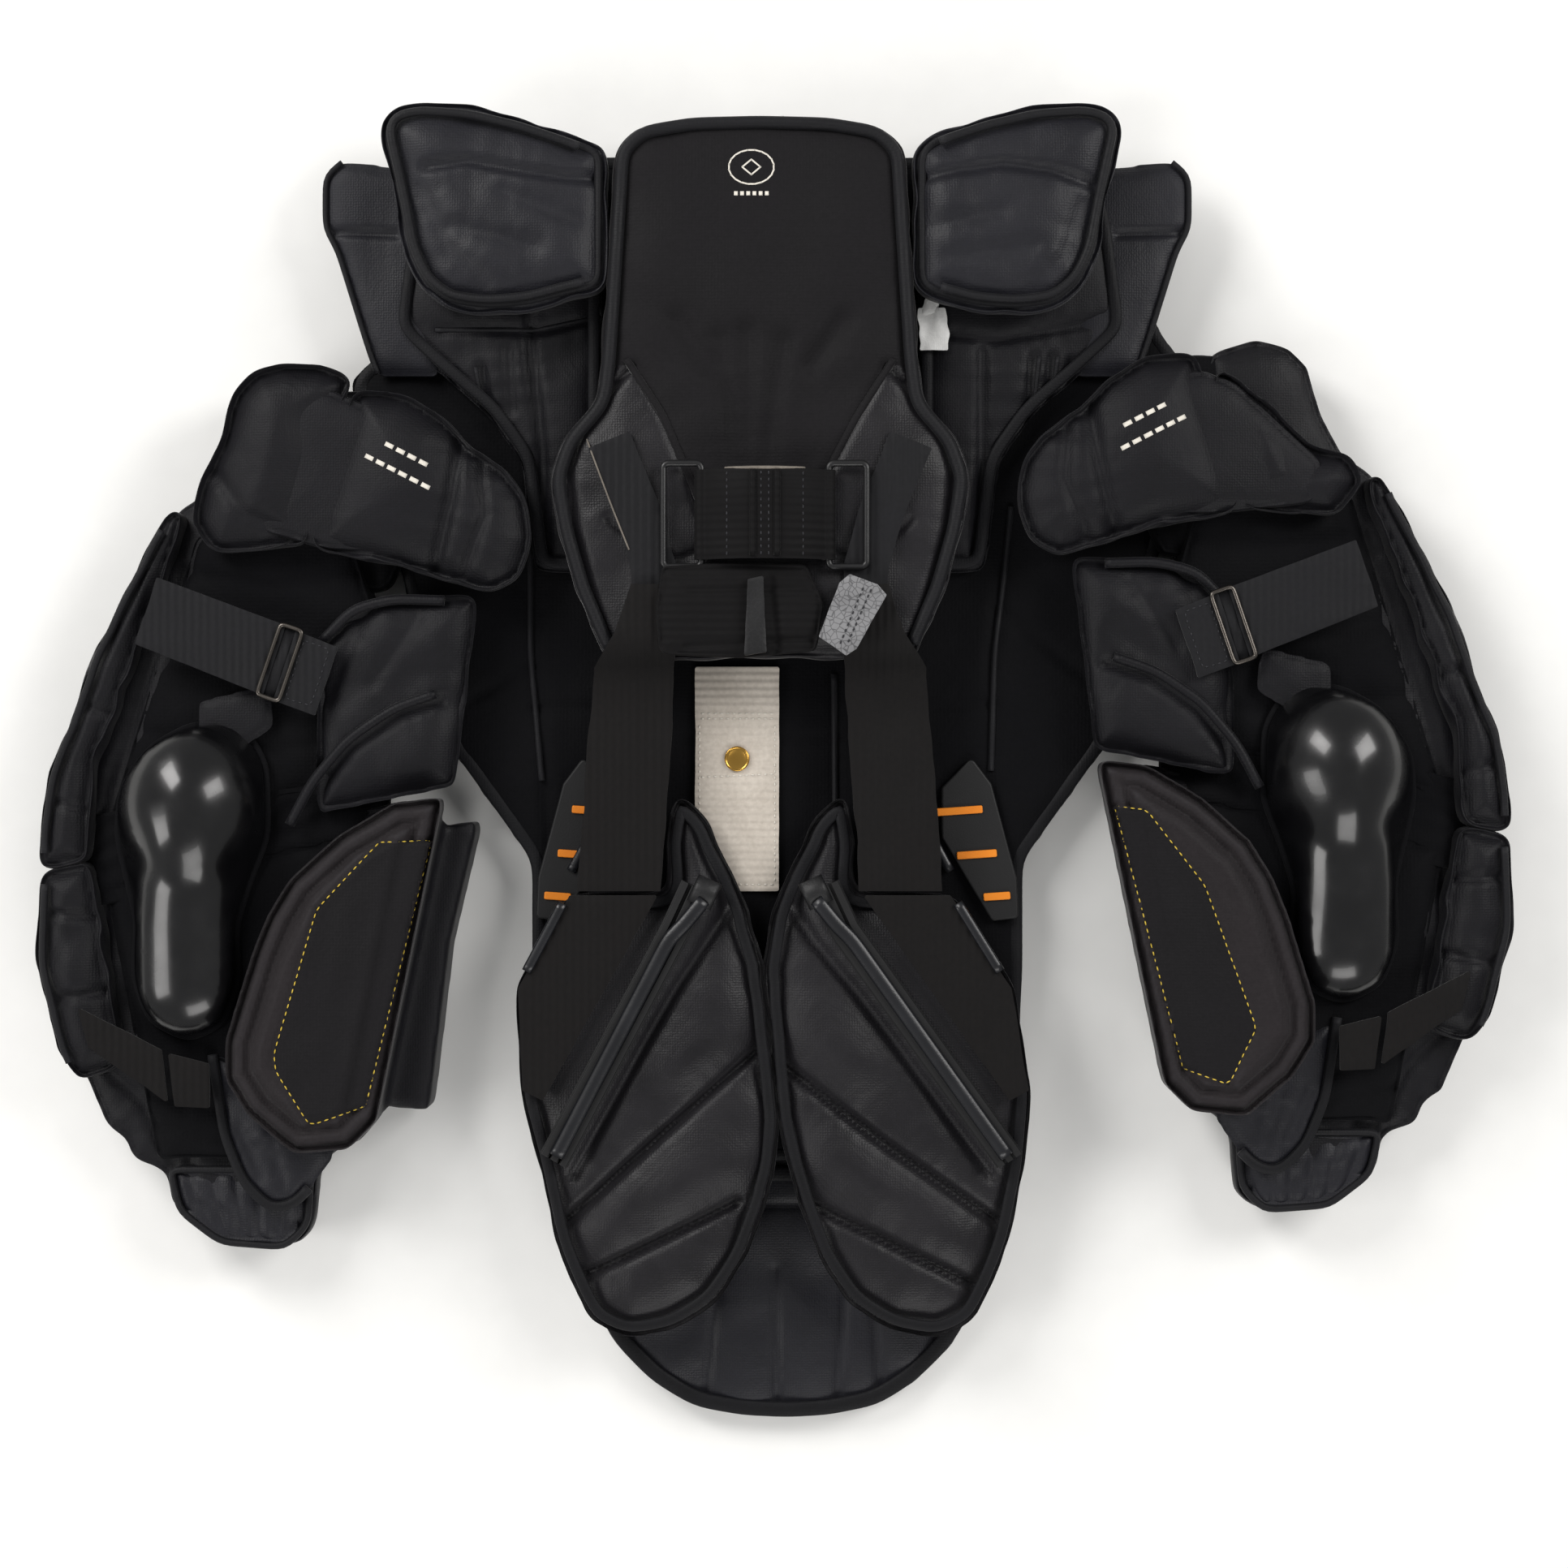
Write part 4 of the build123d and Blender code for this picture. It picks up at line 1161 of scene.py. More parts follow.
class PROTECTOR_OT_harness(bpy.types.Operator):
    """Make the elastics, the belt bridge, its rings and its pull tabs"""

    bl_idname = "protector.harness"
    bl_label = "Harness"

    def execute(self, context):
        body = "back_harness"
        piece = strap("upper_elastics", "upper_straps", wave=0.8, edge_wave=0.8)
        placed(covered(piece, "light elastic"), body, ["upper_straps"])
        level = surface(piece, bpy.data.objects["back_pad"])
        hem = even([(-111, 193), (-96, 153), (-86, 128)], 3.0, round_off=3)
        hem = cord_along("upper_elastic_hem", [resting([tuple(q) for q in hem], level, 0.3)], 0.5, closed=False)
        placed(covered(hem, "pale edge line"), body)
        for name, side in SIDES:
            node = f"{name}_long_strap"
            outside = [(74, 108), (84, 80), (97, 60), (102, 5), (106, -42), (107, -71), (58, -71), (57, -42), (53, 5),
                       (50, 60), (47, 80), (47, 108)]
            flat = cut_out(on_back(outside, side), *height(node))
            piece = strap(
                f"{name}_long_elastic", node, wave=1.2, edge_wave=1.4, wave_length=44.0, seed=4 + side, shape=flat,
                climb=([40.0, 55.0, 68.0, 76.0, 110.0], [0.0, 4.0, 18.0, 23.0, 24.0]),
            )
            placed(covered(piece, "elastic"), body, [node])
            dressed(f"{name}_belt_ring", skin("black wire"))
        bridge = eased("belt_bridge_elastic", "belt_bridge", width=0.4, segments=2, angle=60)
        for face in bridge.data.polygons:
            face.use_smooth = True
        low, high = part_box("belt_bridge")
        middle = (low[0] + high[0]) * 500.0
        crown, half = high[2] * 1000.0, (high[0] - low[0]) * 500.0 - 4.0
        near, far = low[1] * 1000.0, high[1] * 1000.0
        foot = height("left_belt_ring")[1]
        arch = [
            (middle + half * u, (crown - 0.6) - (crown - foot) * u * u) for u in np.linspace(-0.62, 0.62, 15)
        ]
        edging = cord_along("bridge_edging", [[(x, far, z) for x, z in arch]], 1.0, closed=False)
        placed(covered(bridge, "elastic across"), body, ["belt_bridge"])
        placed(covered(edging, "pale edge line"), body)
        level = surface(bridge)
        welts = [
            resting(even([(middle + dx, near + 1.5), (middle + dx, far - 1.5)], 3.0), level, 0.3) for dx in (-7, 7)
        ]
        raised = cord_along("bridge_welts", welts, 2.0, closed=False)
        placed(covered(raised, "elastic across"), body)
        rows = [
            resting(even([(middle + dx, near + 1), (middle + dx, far - 1)], 3.0), level, 0.1)
            for dx in (-2.2, 2.2, -22.0, 22.0)
        ]
        placed(covered(stitches("bridge_stitches", rows, 2.4, 3.8, 0.4), "thread black"), body)

        belt = pad(
            "folded_belt_elastic", "folded_belt", voxel=2.6, levels=(81.5, 92.0),
            outline=[(-67, 68), (-69, 92), (-66, 117), (-30, 119), (16, 118), (26, 96), (22, 70), (-20, 66)],
            seams=[([(-52, 72), (20, 76)], 2.4, 2.0), ([(-50, 104), (16, 106)], 1.4, 2.0),
                   ([(0, 68), (-4, 110)], 2.5, 3.0)],
            crown=3.0, crown_reach=6.0, pucker=0.3, waves=1.2, wave_length=40.0, seed=41,
        )
        placed(covered(belt, "elastic across"), body, ["folded_belt"])
        tab = strap("dark_tab", "dark_pull_tab", wave=1.4, wave_length=24.0, cut=2.5)
        placed(covered(tab, "black vinyl"), body, ["dark_pull_tab"])
        tab = strap("grey_tab", "grey_pull_tab", wave=1.2, wave_length=26.0, cut=2.5)
        level = surface(tab)
        rows = [
            resting(even([(36 + d, 72 + d * 0.2), (50 + d, 106 - d * 0.2)], 3.0), level, 0.2) for d in (0.0, 4.6)
        ]
        sewn = covered(stitches("grey_tab_stitches", rows, 2.4, 3.6, 0.45), "thread black")
        placed(covered(tab, "grey vinyl"), body, ["grey_pull_tab"])
        placed(sewn, body)
        return {"FINISHED"}


class PROTECTOR_OT_snap(bpy.types.Operator):
    """Make the pale webbing tail and its press stud"""

    bl_idname = "protector.snap"
    bl_label = "Press Stud Tail"

    def execute(self, context):
        tail = strap("snap_webbing", "snap_strap", wave=0.6, cut=5.0, wave_length=38.0, edge_wave=0.6)
        level = surface(tail)
        low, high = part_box("snap_strap")
        left, right, top, foot = low[0] * 1000 + 2.5, high[0] * 1000 - 2.5, high[1] * 1000, low[1] * 1000
        rows = [[(left, top - 28), (right, top - 28)], [(left, top - 31), (right, top - 31)],
                [(left, foot + 5), (left, top - 34)], [(right, foot + 5), (right, top - 34)],
                [(left, foot + 4), (right, foot + 4)], [(left, top - 66), (right, top - 64)]]
        rows = [resting(even(row, 3.0), level, 0.15) for row in rows]
        sewn = covered(stitches("snap_webbing_stitches", rows, 2.4, 3.8, 0.45), "thread white")
        placed(covered(tail, "webbing"), "snap_tail", ["snap_strap"])
        placed(sewn, "snap_tail")
        low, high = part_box("snap_button")
        middle = ((low[0] + high[0]) / 2, (low[1] + high[1]) / 2)
        shape = bmesh.new()
        profile = [
            (0.0, 2.3), (3.0, 2.2), (5.4, 1.9), (6.2, 1.6), (6.5, 1.95), (7.1, 2.0), (7.5, 1.4), (7.4, 0.2), (2.4, 0.0),
        ]
        verts = [shape.verts.new((metres(r), 0, metres(z))) for r, z in profile]
        edges = [shape.edges.new(pair) for pair in zip(verts[:-1], verts[1:])]
        bmesh.ops.spin(
            shape, geom=verts + edges, axis=(0, 0, 1), cent=(0, 0, 0), angle=2 * math.pi, steps=40, use_merge=True
        )
        bmesh.ops.remove_doubles(shape, verts=shape.verts, dist=1e-6)
        bmesh.ops.contextual_create(shape, geom=[e for e in shape.edges if e.is_boundary])
        bmesh.ops.recalc_face_normals(shape, faces=shape.faces)
        base = high[2] - metres(3.0)
        bmesh.ops.translate(shape, verts=shape.verts, vec=(middle[0], middle[1], base + metres(0.7)))
        stud = made("press_stud", shape)
        placed(covered(stud, "brass"), "snap_tail", ["snap_button"])
        return {"FINISHED"}


def meeting(node, side):
    """A function that moves a wing's inner edge to the middle of the back, between its top and its hem."""
    ring = even(rim(node), 4.0, True)
    across = side * (ring[:, 0] - np.array([lean(y) for y in ring[:, 1]]))
    rows = np.linspace(WING_HEM, WING_TOP, 24)
    fade_length, reach = 40, 40
    overlap, furthest = 2.4, 9
    inner = [across[np.abs(ring[:, 1] - y) < 6.0].min() for y in rows]

    def moved(points):
        own = side * (points[:, 0] - np.array([lean(y) for y in points[:, 1]]))
        gap = np.interp(points[:, 1], rows, inner)
        rising = np.clip((points[:, 1] - (WING_HEM - 10)) / fade_length, 0, 1)
        falling = np.clip((WING_TOP + 14 - points[:, 1]) / fade_length, 0, 1)
        share = np.exp(-np.clip(own - gap, 0, None) / reach)
        points[:, 0] -= side * np.clip(gap - overlap, 0, furthest) * (rising * falling) * share
        return points

    return moved


class PROTECTOR_OT_wings(bpy.types.Operator):
    """Make the kidney wings with their channels, bindings, hip straps and ribbed bars"""

    bl_idname = "protector.wings"
    bl_label = "Kidney Wings"

    def execute(self, context):
        deep = size_of(stuffing().channel_depth)
        channels = {
            -1: [[(-140, -281), (-72, -218), (-16, -167)], [(-134, -309), (-78, -282), (-24, -256)]],
            1: [[(-2, -168), (66, -222), (142, -276)], [(8, -252), (60, -276), (130, -312)]],
        }
        for name, side in SIDES:
            node = f"{name}_kidney_wing"
            held = [rim(f"{name}_hip_strap", "low"), rim(f"{name}_rib_bar", "low")]
            beside = [(x - 4 * side, y) for x, y in on_back([(26, -72), (40, -100), (128, -240)], side)]
            seams = [(path, deep, 2.6) for path in channels[side]] + [(beside, 3.0, 3.0)]
            piece = pad(
                f"{node}_pad", node, voxel=4.5, crown=11.0, crown_reach=15.0, seams=seams, quilt=5.0, relax=14,
                pucker=size_of(stuffing().pucker), puff=size_of(stuffing().wing_puff), sink=2.5,
                flat_under=held, waves=0.3, seed=51 + side,
            )
            closing = meeting(node, side)
            put(piece, closing(places(piece)[0]))
            placed(covered(piece, "quilted nylon"), f"{name}_wing", [node])
            tape = bound(f"{name}_wing_binding", node, inset=2.2, drop=7.0, seed=6 + side, moved=closing)
            placed(tape, f"{name}_wing")
            node = f"{name}_hip_strap"
            piece = strap(f"{name}_hip_elastic", node, wave=0.9, edge_wave=0.9, wave_length=50.0, seed=8 + side)
            placed(covered(piece, "elastic"), f"{name}_wing", [node])
            node = f"{name}_rib_bar"
            bar = eased(f"{name}_ribbed_bar", node, width=1.5, segments=4)
            placed(covered(bar, "moulded plate"), f"{name}_wing", [node])
            top = height(node)[1]
            route = on_back([(33, -76), (46, -92), (53, -98), (132, -226)], side)
            route = even([(x, y, top + 0.6) for x, y in route], 4.0, round_off=2)
            satin = covered(cord_along(f"{name}_rib_satin", [route], closed=False, flat=(9.0, 6.5)), "moulded foam")
            head = [(x, y, top + 0.4) for x, y in on_back([(29, -64), (36, -79)], side)]
            worn = covered(cord_along(f"{name}_rib_head", [head], closed=False, flat=(15.0, 5.0)), "black vinyl")
            rise = height(f"{name}_hip_strap")[1]
            edge = even([(x, y, rise + 0.8) for x, y in on_back([(116, -78), (139, -118)], side)], 4.0)
            lower = covered(cord_along(f"{name}_hip_rib", [edge], closed=False, flat=(6.0, 4.5)), "moulded foam")
            placed(joined(f"{name}_rib_ridge", [satin, worn, lower]), f"{name}_wing")
        return {"FINISHED"}


class PROTECTOR_OT_apron(bpy.types.Operator):
    """Make the belly apron"""

    bl_idname = "protector.apron"
    bl_label = "Belly Apron"

    def execute(self, context):
        lines = [
            [(-35, -300), (-44, -379)], [(-2, -300), (0, -384)], [(42, -300), (36, -381)], [(57, -306), (62, -372)],
            [(-88, -316), (-92, -350)], [(96, -316), (94, -346)], [(-140, -262), (140, -262)],
        ]
        piece = pad(
            "belly_apron_pad", "belly_apron", voxel=5.0, crown=3.0, seams=[(line, 1.8, 2.2) for line in lines],
            pucker=0.25, puff=3.0, waves=0.6, seed=61, quilt=1.2,
        )
        placed(covered(piece, "grey nylon"), "apron", ["belly_apron"])
        placed(bound("apron_binding", "belly_apron", width=9.0, drop=3.0), "apron")
        return {"FINISHED"}


def clear_of_elbow(piece, side):
    """Keeps a sleeve's cloth out of the way of the bending elbow: its underside rises towards the elbow's line."""
    points, _ = places(piece)
    along, up = ARM_SHIFT if side > 0 else (0.0, 0.0)
    reach = np.abs(points[:, 1] - up - elbow_line(side * points[:, 0] - along))
    points[:, 2] = np.maximum(points[:, 2], ELBOW_LEVEL - 1.6 * np.maximum(reach - 1.0, 0.0))
    put(piece, points)


class PROTECTOR_OT_upper_arms(bpy.types.Operator):
    """Make the upper sleeves, their pads, straps and rings"""

    bl_idname = "protector.upper_arms"
    bl_label = "Upper Arms"

    def execute(self, context):
        puff = size_of(stuffing().pad_puff)
        depth = size_of(stuffing().seam_depth)
        rolled = {
            -1: [(262, 222), (284, 224), (304, 200), (304, 142), (262, 130), (236, 130), (228, 208)],
            1: [(252, 212), (272, 204), (300, 178), (322, 158), (318, 136), (262, 130), (236, 130), (228, 206)],
        }
        marks = {-1: (-27.0, (-219, 179)), 1: (27.0, (217, 202))}
        for name, side in SIDES:
            body = f"{name}_upper_arm"
            node = f"{name}_upper_sleeve"
            folds = [on_arm([(250, y), (300, y - 8), (392, y + 4)], side) for y in (118, 66, 20)]
            piece = pad(f"{node}_cloth", node, voxel=4.5, crown=5.0, seams=[(f, 1.6, 5.0) for f in folds],
                        pucker=0.2, waves=1.2, seed=71 + side, side_pull=3.0)
            placed(covered(piece, "lining"), body, [node])

            base = [(262, 226), (288, 234), (306, 230), (318, 218), (326, 190), (340, 164), (354, 156), (362, 147),
                    (374, 124), (389, 95), (404, 65), (417, 27), (430, -3), (434, -36), (434, -58.2), (238, -18.4),
                    (240, 20), (244, 60), (249, 120), (256, 190)]
            folds = [on_arm(f, side) for f in (
                [(366, 140), (392, 60), (420, -50)], [(352, 120), (380, 40), (404, -50)], [(250, 120), (236, 20)])]
            cloth = pad(f"{name}_upper_cloth", None, voxel=5.0, crown=5.0, outline=on_arm(base, side),
                        levels=(15.0, 42.0), seams=[(f, 2.4, 3.4) for f in folds], waves=1.2, seed=70 + side)
            clear_of_elbow(cloth, side)
            placed(covered(cloth, "deep nylon"), body)
            filler = pad(f"{name}_shoulder_roll", None, voxel=4.0, crown=3.0, outline=on_arm(rolled[side], side),
                         levels=(50.5, 70.0), waves=0.8, seed=69 + side)
            placed(covered(filler, "deep nylon"), body)

            node = f"{name}_biceps_outer_pad"
            across = [on_arm([(404, -24), (436, -16)], side), on_arm([(396, 34), (424, 44)], side)]
            piece = pad(f"{node}_cloth", node, voxel=4.0, crown=7.0, crown_reach=8.0,
                        seams=[(a, 2.4, 3.0) for a in across], puff=puff * 0.6, waves=1.0, seed=73 + side)
            placed(covered(piece, "deep nylon"), body, [node])
            placed(edged(f"{name}_outer_piping", node, side), body)

            node = f"{name}_biceps_inner_pad"
            curve = on_arm([(284, -36), (271, -11), (250, 14), (222, 33), (198, 41)], side)
            folds = [on_arm([(244, 92), (264, 44)], side), on_arm([(212, 90), (238, 52)], side)]
            piece = pad(f"{node}_cloth", node, voxel=4.0, crown=7.0, crown_reach=9.0, puff=puff, quilt=1.5,
                        seams=[(curve, depth * 1.4, 3.4)] + [(fold, 1.4, 5.0) for fold in folds], waves=0.8,
                        seed=75 + side)
            placed(covered(piece, "deep nylon"), body, [node])
            level = surface(piece)
            rolls = [even(on_arm([(268, 76), (250, 95), (226, 101), (196, 100)], side), 4.0, round_off=4),
                     even([(x + side * 3, y + 4) for x, y in curve], 4.0, round_off=4)]
            lowest = height(node)[1] - 6.0
            rolls = [
                [(x, y, max(z, lowest)) for x, y, z in resting([tuple(r) for r in roll], level, 0.6)] for roll in rolls
            ]
            rolls = cord_along(f"{name}_inner_roll", rolls, 3.0, closed=False)
            placed(covered(rolls, "deep nylon"), body)

            node = f"{name}_shoulder_cap"
            crease = [on_arm([(330, 176), (312, 150), (290, 140)], side)]
            piece = pad(f"{node}_cloth", node, voxel=4.0, crown=11.0, crown_reach=14.0, puff=puff * 1.3,
                        seams=[(c, depth, 4.0) for c in crease], waves=0.9, seed=77 + side)
            placed(covered(piece, "deep nylon"), body, [node])

            node = f"{name}_inner_shoulder_pad"
            seam = on_arm([(186, 194), (191, 160), (204, 106)], side)
            end = on_arm([(174, 178), (171, 150), (184, 116)], side)
            piece = pad(f"{node}_cloth", node, voxel=4.0, crown=10.0, crown_reach=13.0, puff=puff * 1.1, quilt=2.0,
                        seams=[(seam, depth * 1.6, 4.0), (end, depth, 3.0)], waves=0.8, seed=79 + side)
            level = surface(piece)
            placed(covered(piece, "deep nylon"), body, [node])
            turn, middle = marks[side]
            c, s = math.cos(math.radians(turn)), math.sin(math.radians(turn))
            blocks = []
            for count, v in ((4, 6.0), (6, -5.5)):
                for k in range(count):
                    u = (k - (count - 1) / 2) * 7.4
                    blocks.append((middle[0] + u * c - v * s, middle[1] + u * s + v * c, 5.2, 2.6, turn))
            mark = covered(printed(f"{name}_side_mark", blocks, level), "thread white")
            placed(mark, body)

            node = f"{name}_biceps_strap"
            piece = strap(f"{name}_biceps_elastic", node, wave=0.8, edge_wave=0.7, seed=81 + side)
            placed(covered(piece, "light elastic"), body, [node])
            level = surface(piece)
            row = on_arm([(277, 76), (262, 71), (273, 38), (288, 42), (277, 76)], side, STRAP_ROLL)
            sewn = stitches(f"{name}_tab_stitches", [resting(even(row, 3.0), level, 0.15)], 2.4, 3.8, 0.4)
            placed(covered(sewn, "thread black"), body)
            node = f"{name}_biceps_ring"
            wire = drawn_in(even(rim(node), 2.0, True, 2), 1.4)
            wire[:, 2] = height(node)[1] - 1.4
            loop = cord_along(f"{name}_strap_ring", [wire], 1.4)
            placed(covered(loop, "nickel"), body, [node])
            low, high = height(f"{name}_biceps_strap")
            turn_in = on_arm([(291, 85), (304, 45), (291, 41), (278, 81)], side, STRAP_ROLL)
            fold = made(f"{name}_strap_fold", cut_out(turn_in, low, high - 0.4))
            placed(covered(fold, "light elastic"), body)
        return {"FINISHED"}


class PROTECTOR_OT_elbows(bpy.types.Operator):
    """Make the polished elbow caps"""

    bl_idname = "protector.elbows"
    bl_label = "Elbow Caps"

    def execute(self, context):
        for name, side in SIDES:
            node = f"{name}_elbow_cap"
            low, high = height(node)
            outline = on_arm([
                (318, 28), (346, 26), (370, 13), (387, -12), (389, -38), (383, -64), (377, -88), (379, -122),
                (370, -147), (348, -158), (328, -149), (319, -124), (321, -92), (313, -66), (302, -38), (303, 4),
            ], side, CAP_ROLL)
            ring = even(outline, 4.0, True, 4)
            ball = on_arm([(346, -20)], side, CAP_ROLL)[0]
            tail = on_arm([(347, -50), (349, -90), (348, -126)], side, CAP_ROLL)
            cap = made(f"{name}_elbow_shell", cut_out([tuple(p) for p in ring], low, high))
            worked(cap, voxels(3.2), smoothing(3))
            points, _ = places(cap)
            tall = high - low
            skirt = 4.0 + 6.0 * (1 - np.exp(-from_edge(points, ring) / 3.0))
            out = np.hypot(points[:, 0] - ball[0], (points[:, 1] - ball[1]) * 0.86) / 46.0
            dome = tall * 0.94 * np.clip(1 - out**2, 0, 1) ** 0.7
            gap, along = nearest(points, tail)
            ridge = tall * (0.70 - 0.0018 * along) * np.clip(1 - (gap / 33.0) ** 2, 0, 1) ** 0.6
            rise = np.minimum((skirt**4 + dome**4 + ridge**4) ** 0.25, tall)
            points[:, 2] = low + np.clip((points[:, 2] - low) / tall, 0, 1) * rise
            put(cap, points)
            worked(cap, smoothing(6), FINER)
            placed(covered(cap, "gloss shell"), f"{name}_elbow", [node])
            collar = [(x, y, low + 1.2) for x, y in drawn_in(ring, -1.0)]
            cuff = cord_along(f"{name}_cap_edge", [collar], flat=(4.0, 2.4))
            outline = on_arm([(340, 40), (300, 50), (297, 26), (316, 14), (340, 14)], side, CAP_ROLL)
            tab = pad(f"{name}_cap_tab", None, voxel=3.0, crown=1.5, outline=outline, levels=(52.0, 58.0), waves=0.8,
                      wave_length=24.0, seed=88 + side)
            edge = joined(f"{name}_cap_trim", [covered(cuff, "lining"), covered(tab, "deep nylon")])
            placed(edge, f"{name}_elbow")
        return {"FINISHED"}


class PROTECTOR_OT_forearms(bpy.types.Operator):
    """Make the forearm sleeves, wings, blocks, straps and cuffs"""

    bl_idname = "protector.forearms"
    bl_label = "Forearms"

    def execute(self, context):
        puff = size_of(stuffing().pad_puff)
        hexagons = {
            -1: [(-232, -42), (-202, -41), (-240, -196), (-272, -207), (-292, -175), (-293, -165), (-268, -81)],
            1: [(197, -21), (215, -23), (249, -67), (279, -150), (263, -183), (237, -174)],
        }
        for name, side in SIDES:
            body = f"{name}_forearm"
            node = f"{name}_forearm_sleeve"
            folds = [on_arm([(276, y), (320, y - 6), (380, y + 6)], side) for y in (-176, -196, -214)]
            piece = pad(f"{node}_cloth", node, voxel=4.5, crown=5.0, seams=[(f, 2.0, 4.0) for f in folds],
                        pucker=0.3, waves=1.4, seed=91 + side, side_pull=3.0)
            placed(covered(piece, "lining"), body, [node])

            base = [
                (434, -62.6), (434, -114), (430, -130), (422, -165), (412, -180), (398, -213), (387, -218), (384, -231),
                (363, -238), (360, -258), (346, -269), (322, -281), (298, -283), (286, -281), (277, -272), (275, -250),
                (275, -240), (267, -227), (250, -220), (238, -206), (226, -120), (216, -17.8),
            ]
            folds = [on_arm(f, side) for f in (
                [(380, -170), (352, -206), (346, -262)], [(404, -172), (376, -200), (362, -236)],
                [(398, -66), (404, -170)])]
            cloth = pad(f"{name}_forearm_cloth", None, voxel=5.0, crown=5.0, outline=on_arm(base, side),
                        levels=(15.0, 41.0), seams=[(f, 2.6, 3.4) for f in folds], waves=1.6, wave_length=38.0,
                        seed=90 + side)
            clear_of_elbow(cloth, side)
            placed(covered(cloth, "deep nylon"), body)
            flap = [
                (334, -168), (327, -215), (316, -243), (300, -259), (286, -257), (277, -247), (262, -226), (286, -190),
            ]
            folds = [on_arm([(300, -212), (292, -246)], side), on_arm([(318, -212), (306, -240)], side)]
            loose = pad(f"{name}_wrist_flap", None, voxel=3.5, crown=3.0, outline=on_arm(flap, side),
                        levels=(44.0, 52.0), seams=[(f, 1.5, 4.0) for f in folds], waves=1.2, wave_length=22.0,
                        seed=89 + side)
            placed(covered(loose, "grey nylon"), body)
            edge = even(on_arm(flap[:6], side), 4.0, round_off=4)
            edge = np.column_stack([edge, np.full(len(edge), 50.0)])
            tape = cord_along(f"{name}_wrist_flap_binding", [edge], closed=False, flat=(6.0, 4.6))
            placed(covered(tape, "binding"), body)

            node = f"{name}_elbow_wing"
            across = [on_arm([(400, -86), (437, -84)], side), on_arm([(396, -130), (432, -136)], side)]
            piece = pad(f"{node}_cloth", node, voxel=4.0, crown=7.0, crown_reach=8.0, puff=puff * 0.8,
                        seams=[(a, 3.2, 3.0) for a in across], waves=1.3, seed=93 + side)
            placed(covered(piece, "deep nylon"), body, [node])
            placed(edged(f"{name}_wing_piping", node, side), body)

            node = f"{name}_forearm_block"
            self.block(name, node, body, hexagons[side])

            node = f"{name}_forearm_strap"
            piece = strap(f"{name}_forearm_elastic", node, wave=0.9, edge_wave=0.7, seed=95 + side)
            placed(covered(piece, "elastic"), body, [node])

            node = f"{name}_wrist_cuff"
            lines = [on_arm([(280 + 14 * k, -240), (288 + 10 * k, -284)], side) for k in range(6)]
            piece = pad(f"{node}_cloth", node, voxel=3.5, crown=6.0, seams=[(line, 1.6, 2.6) for line in lines],
                        pucker=0.3, waves=1.6, wave_length=26.0, seed=97 + side, side_pull=3.5)
            placed(covered(piece, "grey nylon"), body, [node])
            piping = piped(f"{name}_cuff_piping", node, size_of(trim().piping_radius), inset=1.0, drop=4.0)
            placed(piping, body)
        return {"FINISHED"}

    def block(self, name, node, body, hexagon):
        """The thick block beside a forearm, with a rolled rim and a stitched panel in a shallow dip."""
        piece = worked(made(f"{node}_pad", merged(node)), voxels(3.4), smoothing(3), FINER)
        points, facing = places(piece)
        edge = from_edge(points, rim(node))
        top = height(node)[1]
        up = upward(facing) * (points[:, 2] > top - 12)
        shift = np.interp(edge, [0, 3, 7, 10.5, 14, 19, 26], [-10.5, -5.5, -5.0, -9.0, -3.0, 0.0, -0.6])
        gap, _ = nearest(points, hexagon, True)
        shift = np.where(inside(points, hexagon), np.maximum(shift, -3.0) - 1.6 * np.clip(gap / 4.0, 0, 1), shift)
        shift -= 2.0 * np.exp(-((gap / 1.9) ** 2))
        shift += 0.5 * ripples(points, 24.0, 101)
        points[:, 2] += shift * up
        put(piece, points)
        covered(piece, "block cloth")
        # Faces more than 16 mm below the block's top take the darker deep nylon: the black cover of the backing beside
        # the block, and painted shade down the block's low sides.
        piece.data.materials.append(skin("deep nylon"))
        for face in piece.data.polygons:
            face.material_index = int(face.center.z * 1000.0 < top - 16)
        painted(piece, hexagon, skin("knit"), over=top - 14)
        level = surface(piece)
        path = even([*hexagon, hexagon[0]], 2.0)
        row = resting([tuple(p) for p in path], level, 0.35)
        sewn = stitches(
            f"{name}_block_stitches", [row], size_of(trim().stitch_length), size_of(trim().stitch_pitch), 0.34
        )
        placed(piece, body, [node])
        placed(covered(sewn, "thread yellow"), body)


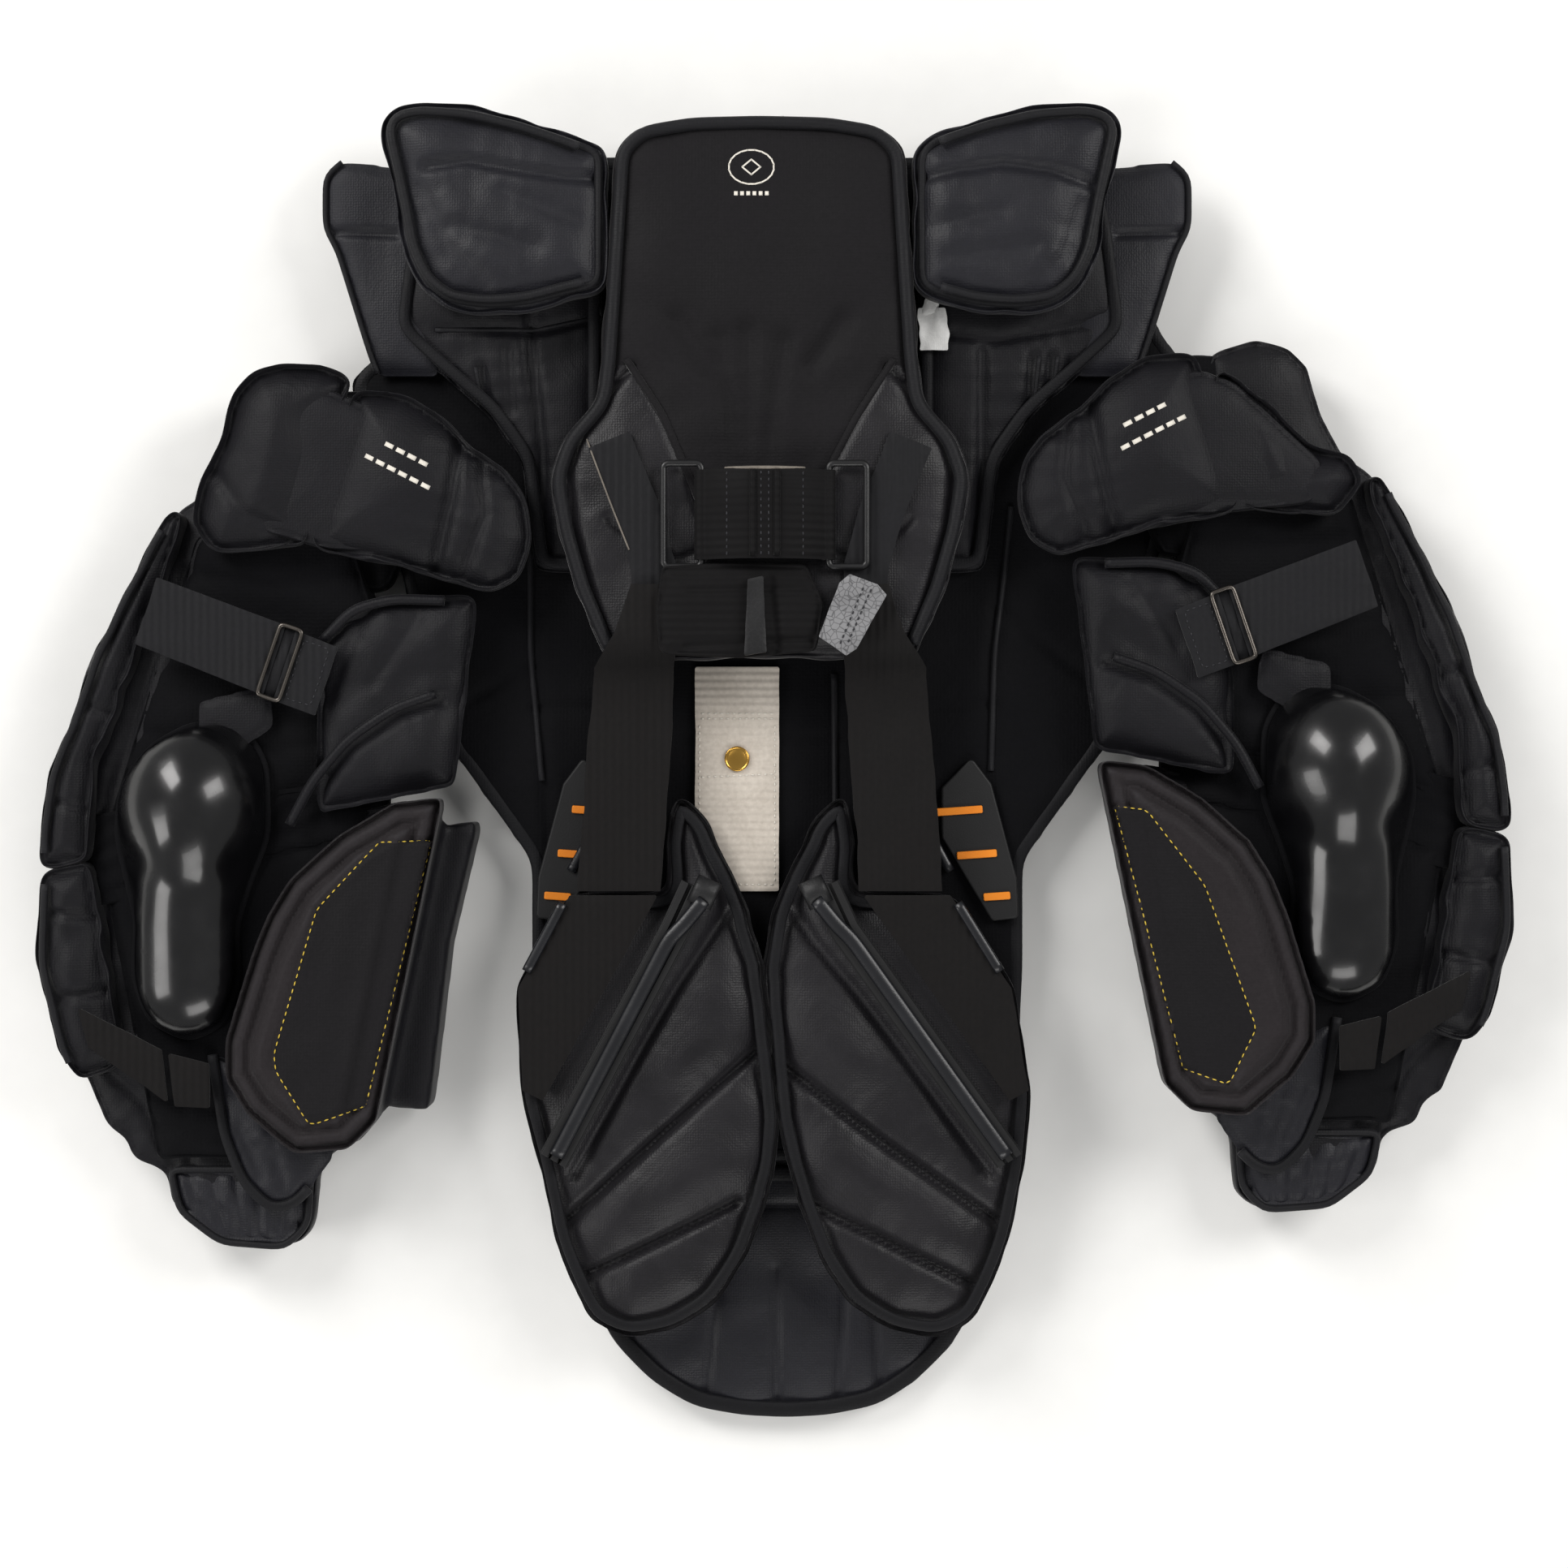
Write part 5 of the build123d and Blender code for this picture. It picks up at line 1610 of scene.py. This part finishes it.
class PROTECTOR_OT_gussets(bpy.types.Operator):
    """Make the stretch cloth that bridges each elbow and shoulder"""

    bl_idname = "protector.gussets"
    bl_label = "Gussets"

    def execute(self, context):
        centre, half_width, half_length, half_height = 328, 96, 27, 20.5
        for name, side in SIDES:
            along, up = ARM_SHIFT if side > 0 else (0.0, 0.0)
            shape = bmesh.new()
            bmesh.ops.create_cube(shape, size=2.0)
            bmesh.ops.delete(shape, geom=[f for f in shape.faces if abs(f.normal.y) > 0.9], context="FACES_ONLY")
            bmesh.ops.subdivide_edges(shape, edges=shape.edges[:], cuts=23, use_grid_fill=True)
            for vert in shape.verts:
                u, v, w = vert.co
                rounder = 1 - 0.10 * (abs(u) ** 4) * abs(w) ** 4
                fold = 1.0 + 0.03 * math.cos(v * 4 * math.pi)
                ends = 1 - 2.2 * max(0.0, abs(u) - 0.8)
                x = centre + u * half_width * rounder
                y = elbow_line(x) + v * half_length
                z = ELBOW_LEVEL + w * half_height * rounder * fold * ends
                vert.co = (side * metres(x + along), metres(y + up), metres(z))
            bmesh.ops.recalc_face_normals(shape, faces=shape.faces)
            piece = worked(made(f"{name}_elbow_gusset", shape), ("SOLIDIFY", {"thickness": metres(1.4)}))
            covered(piece, "lining")
            shoulder = [(224, 214), (250, 226), (290, 222), (296, 150), (286, 104), (232, 108), (214, 150)]
            bridge = pad(f"{name}_shoulder_gusset", None, voxel=5.0, crown=4.0, outline=on_arm(shoulder, side),
                         levels=(17.0, 40.0), seams=[(on_arm([(248, 220), (240, 112)], side), 2.0, 4.0)], waves=1.0,
                         seed=85 + side)
            covered(bridge, "lining")
            near, far = on_arm([(236, 170), (272, 170)], side)
            metres(near[0])
            metres(near[1])
            metres(far[0])
            metres(far[1])
            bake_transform(bridge)
            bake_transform(piece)
        return {"FINISHED"}


STEPS = (
    PROTECTOR_OT_stage, PROTECTOR_OT_front, PROTECTOR_OT_ladders, PROTECTOR_OT_back_pad, PROTECTOR_OT_floaters,
    PROTECTOR_OT_harness, PROTECTOR_OT_snap, PROTECTOR_OT_wings, PROTECTOR_OT_apron, PROTECTOR_OT_upper_arms,
    PROTECTOR_OT_elbows, PROTECTOR_OT_forearms, PROTECTOR_OT_gussets,
)


class PROTECTOR_PT_pieces(bpy.types.Panel):
    """The protector's settings and pieces"""

    bl_idname = "PROTECTOR_PT_pieces"
    bl_label = "Protector"
    bl_space_type = "VIEW_3D"
    bl_region_type = "UI"
    bl_category = "Protector"

    def draw(self, context):
        for group in (context.scene.protector_stuffing, context.scene.protector_trim, context.scene.protector_stage):
            box = self.layout.box()
            for key in group.__annotations__:
                box.prop(group, key)
        for step in STEPS:
            self.layout.operator(step.bl_idname)


GROUPS = (
    ("protector_stuffing", StuffingSettings), ("protector_trim", TrimSettings), ("protector_stage", StageSettings),
)


def register():
    for name, group in GROUPS:
        bpy.utils.register_class(group)
        setattr(bpy.types.Scene, name, bpy.props.PointerProperty(type=group))
    for kind in (*STEPS, PROTECTOR_PT_pieces):
        bpy.utils.register_class(kind)


def unregister():
    for kind in reversed((*STEPS, PROTECTOR_PT_pieces)):
        bpy.utils.unregister_class(kind)
    for name, group in reversed(GROUPS):
        delattr(bpy.types.Scene, name)
        bpy.utils.unregister_class(group)


def main():
    register()
    for step in STEPS:
        group, action = step.bl_idname.split(".")
        getattr(getattr(bpy.ops, group), action)()


if __name__ == "__main__":
    main()
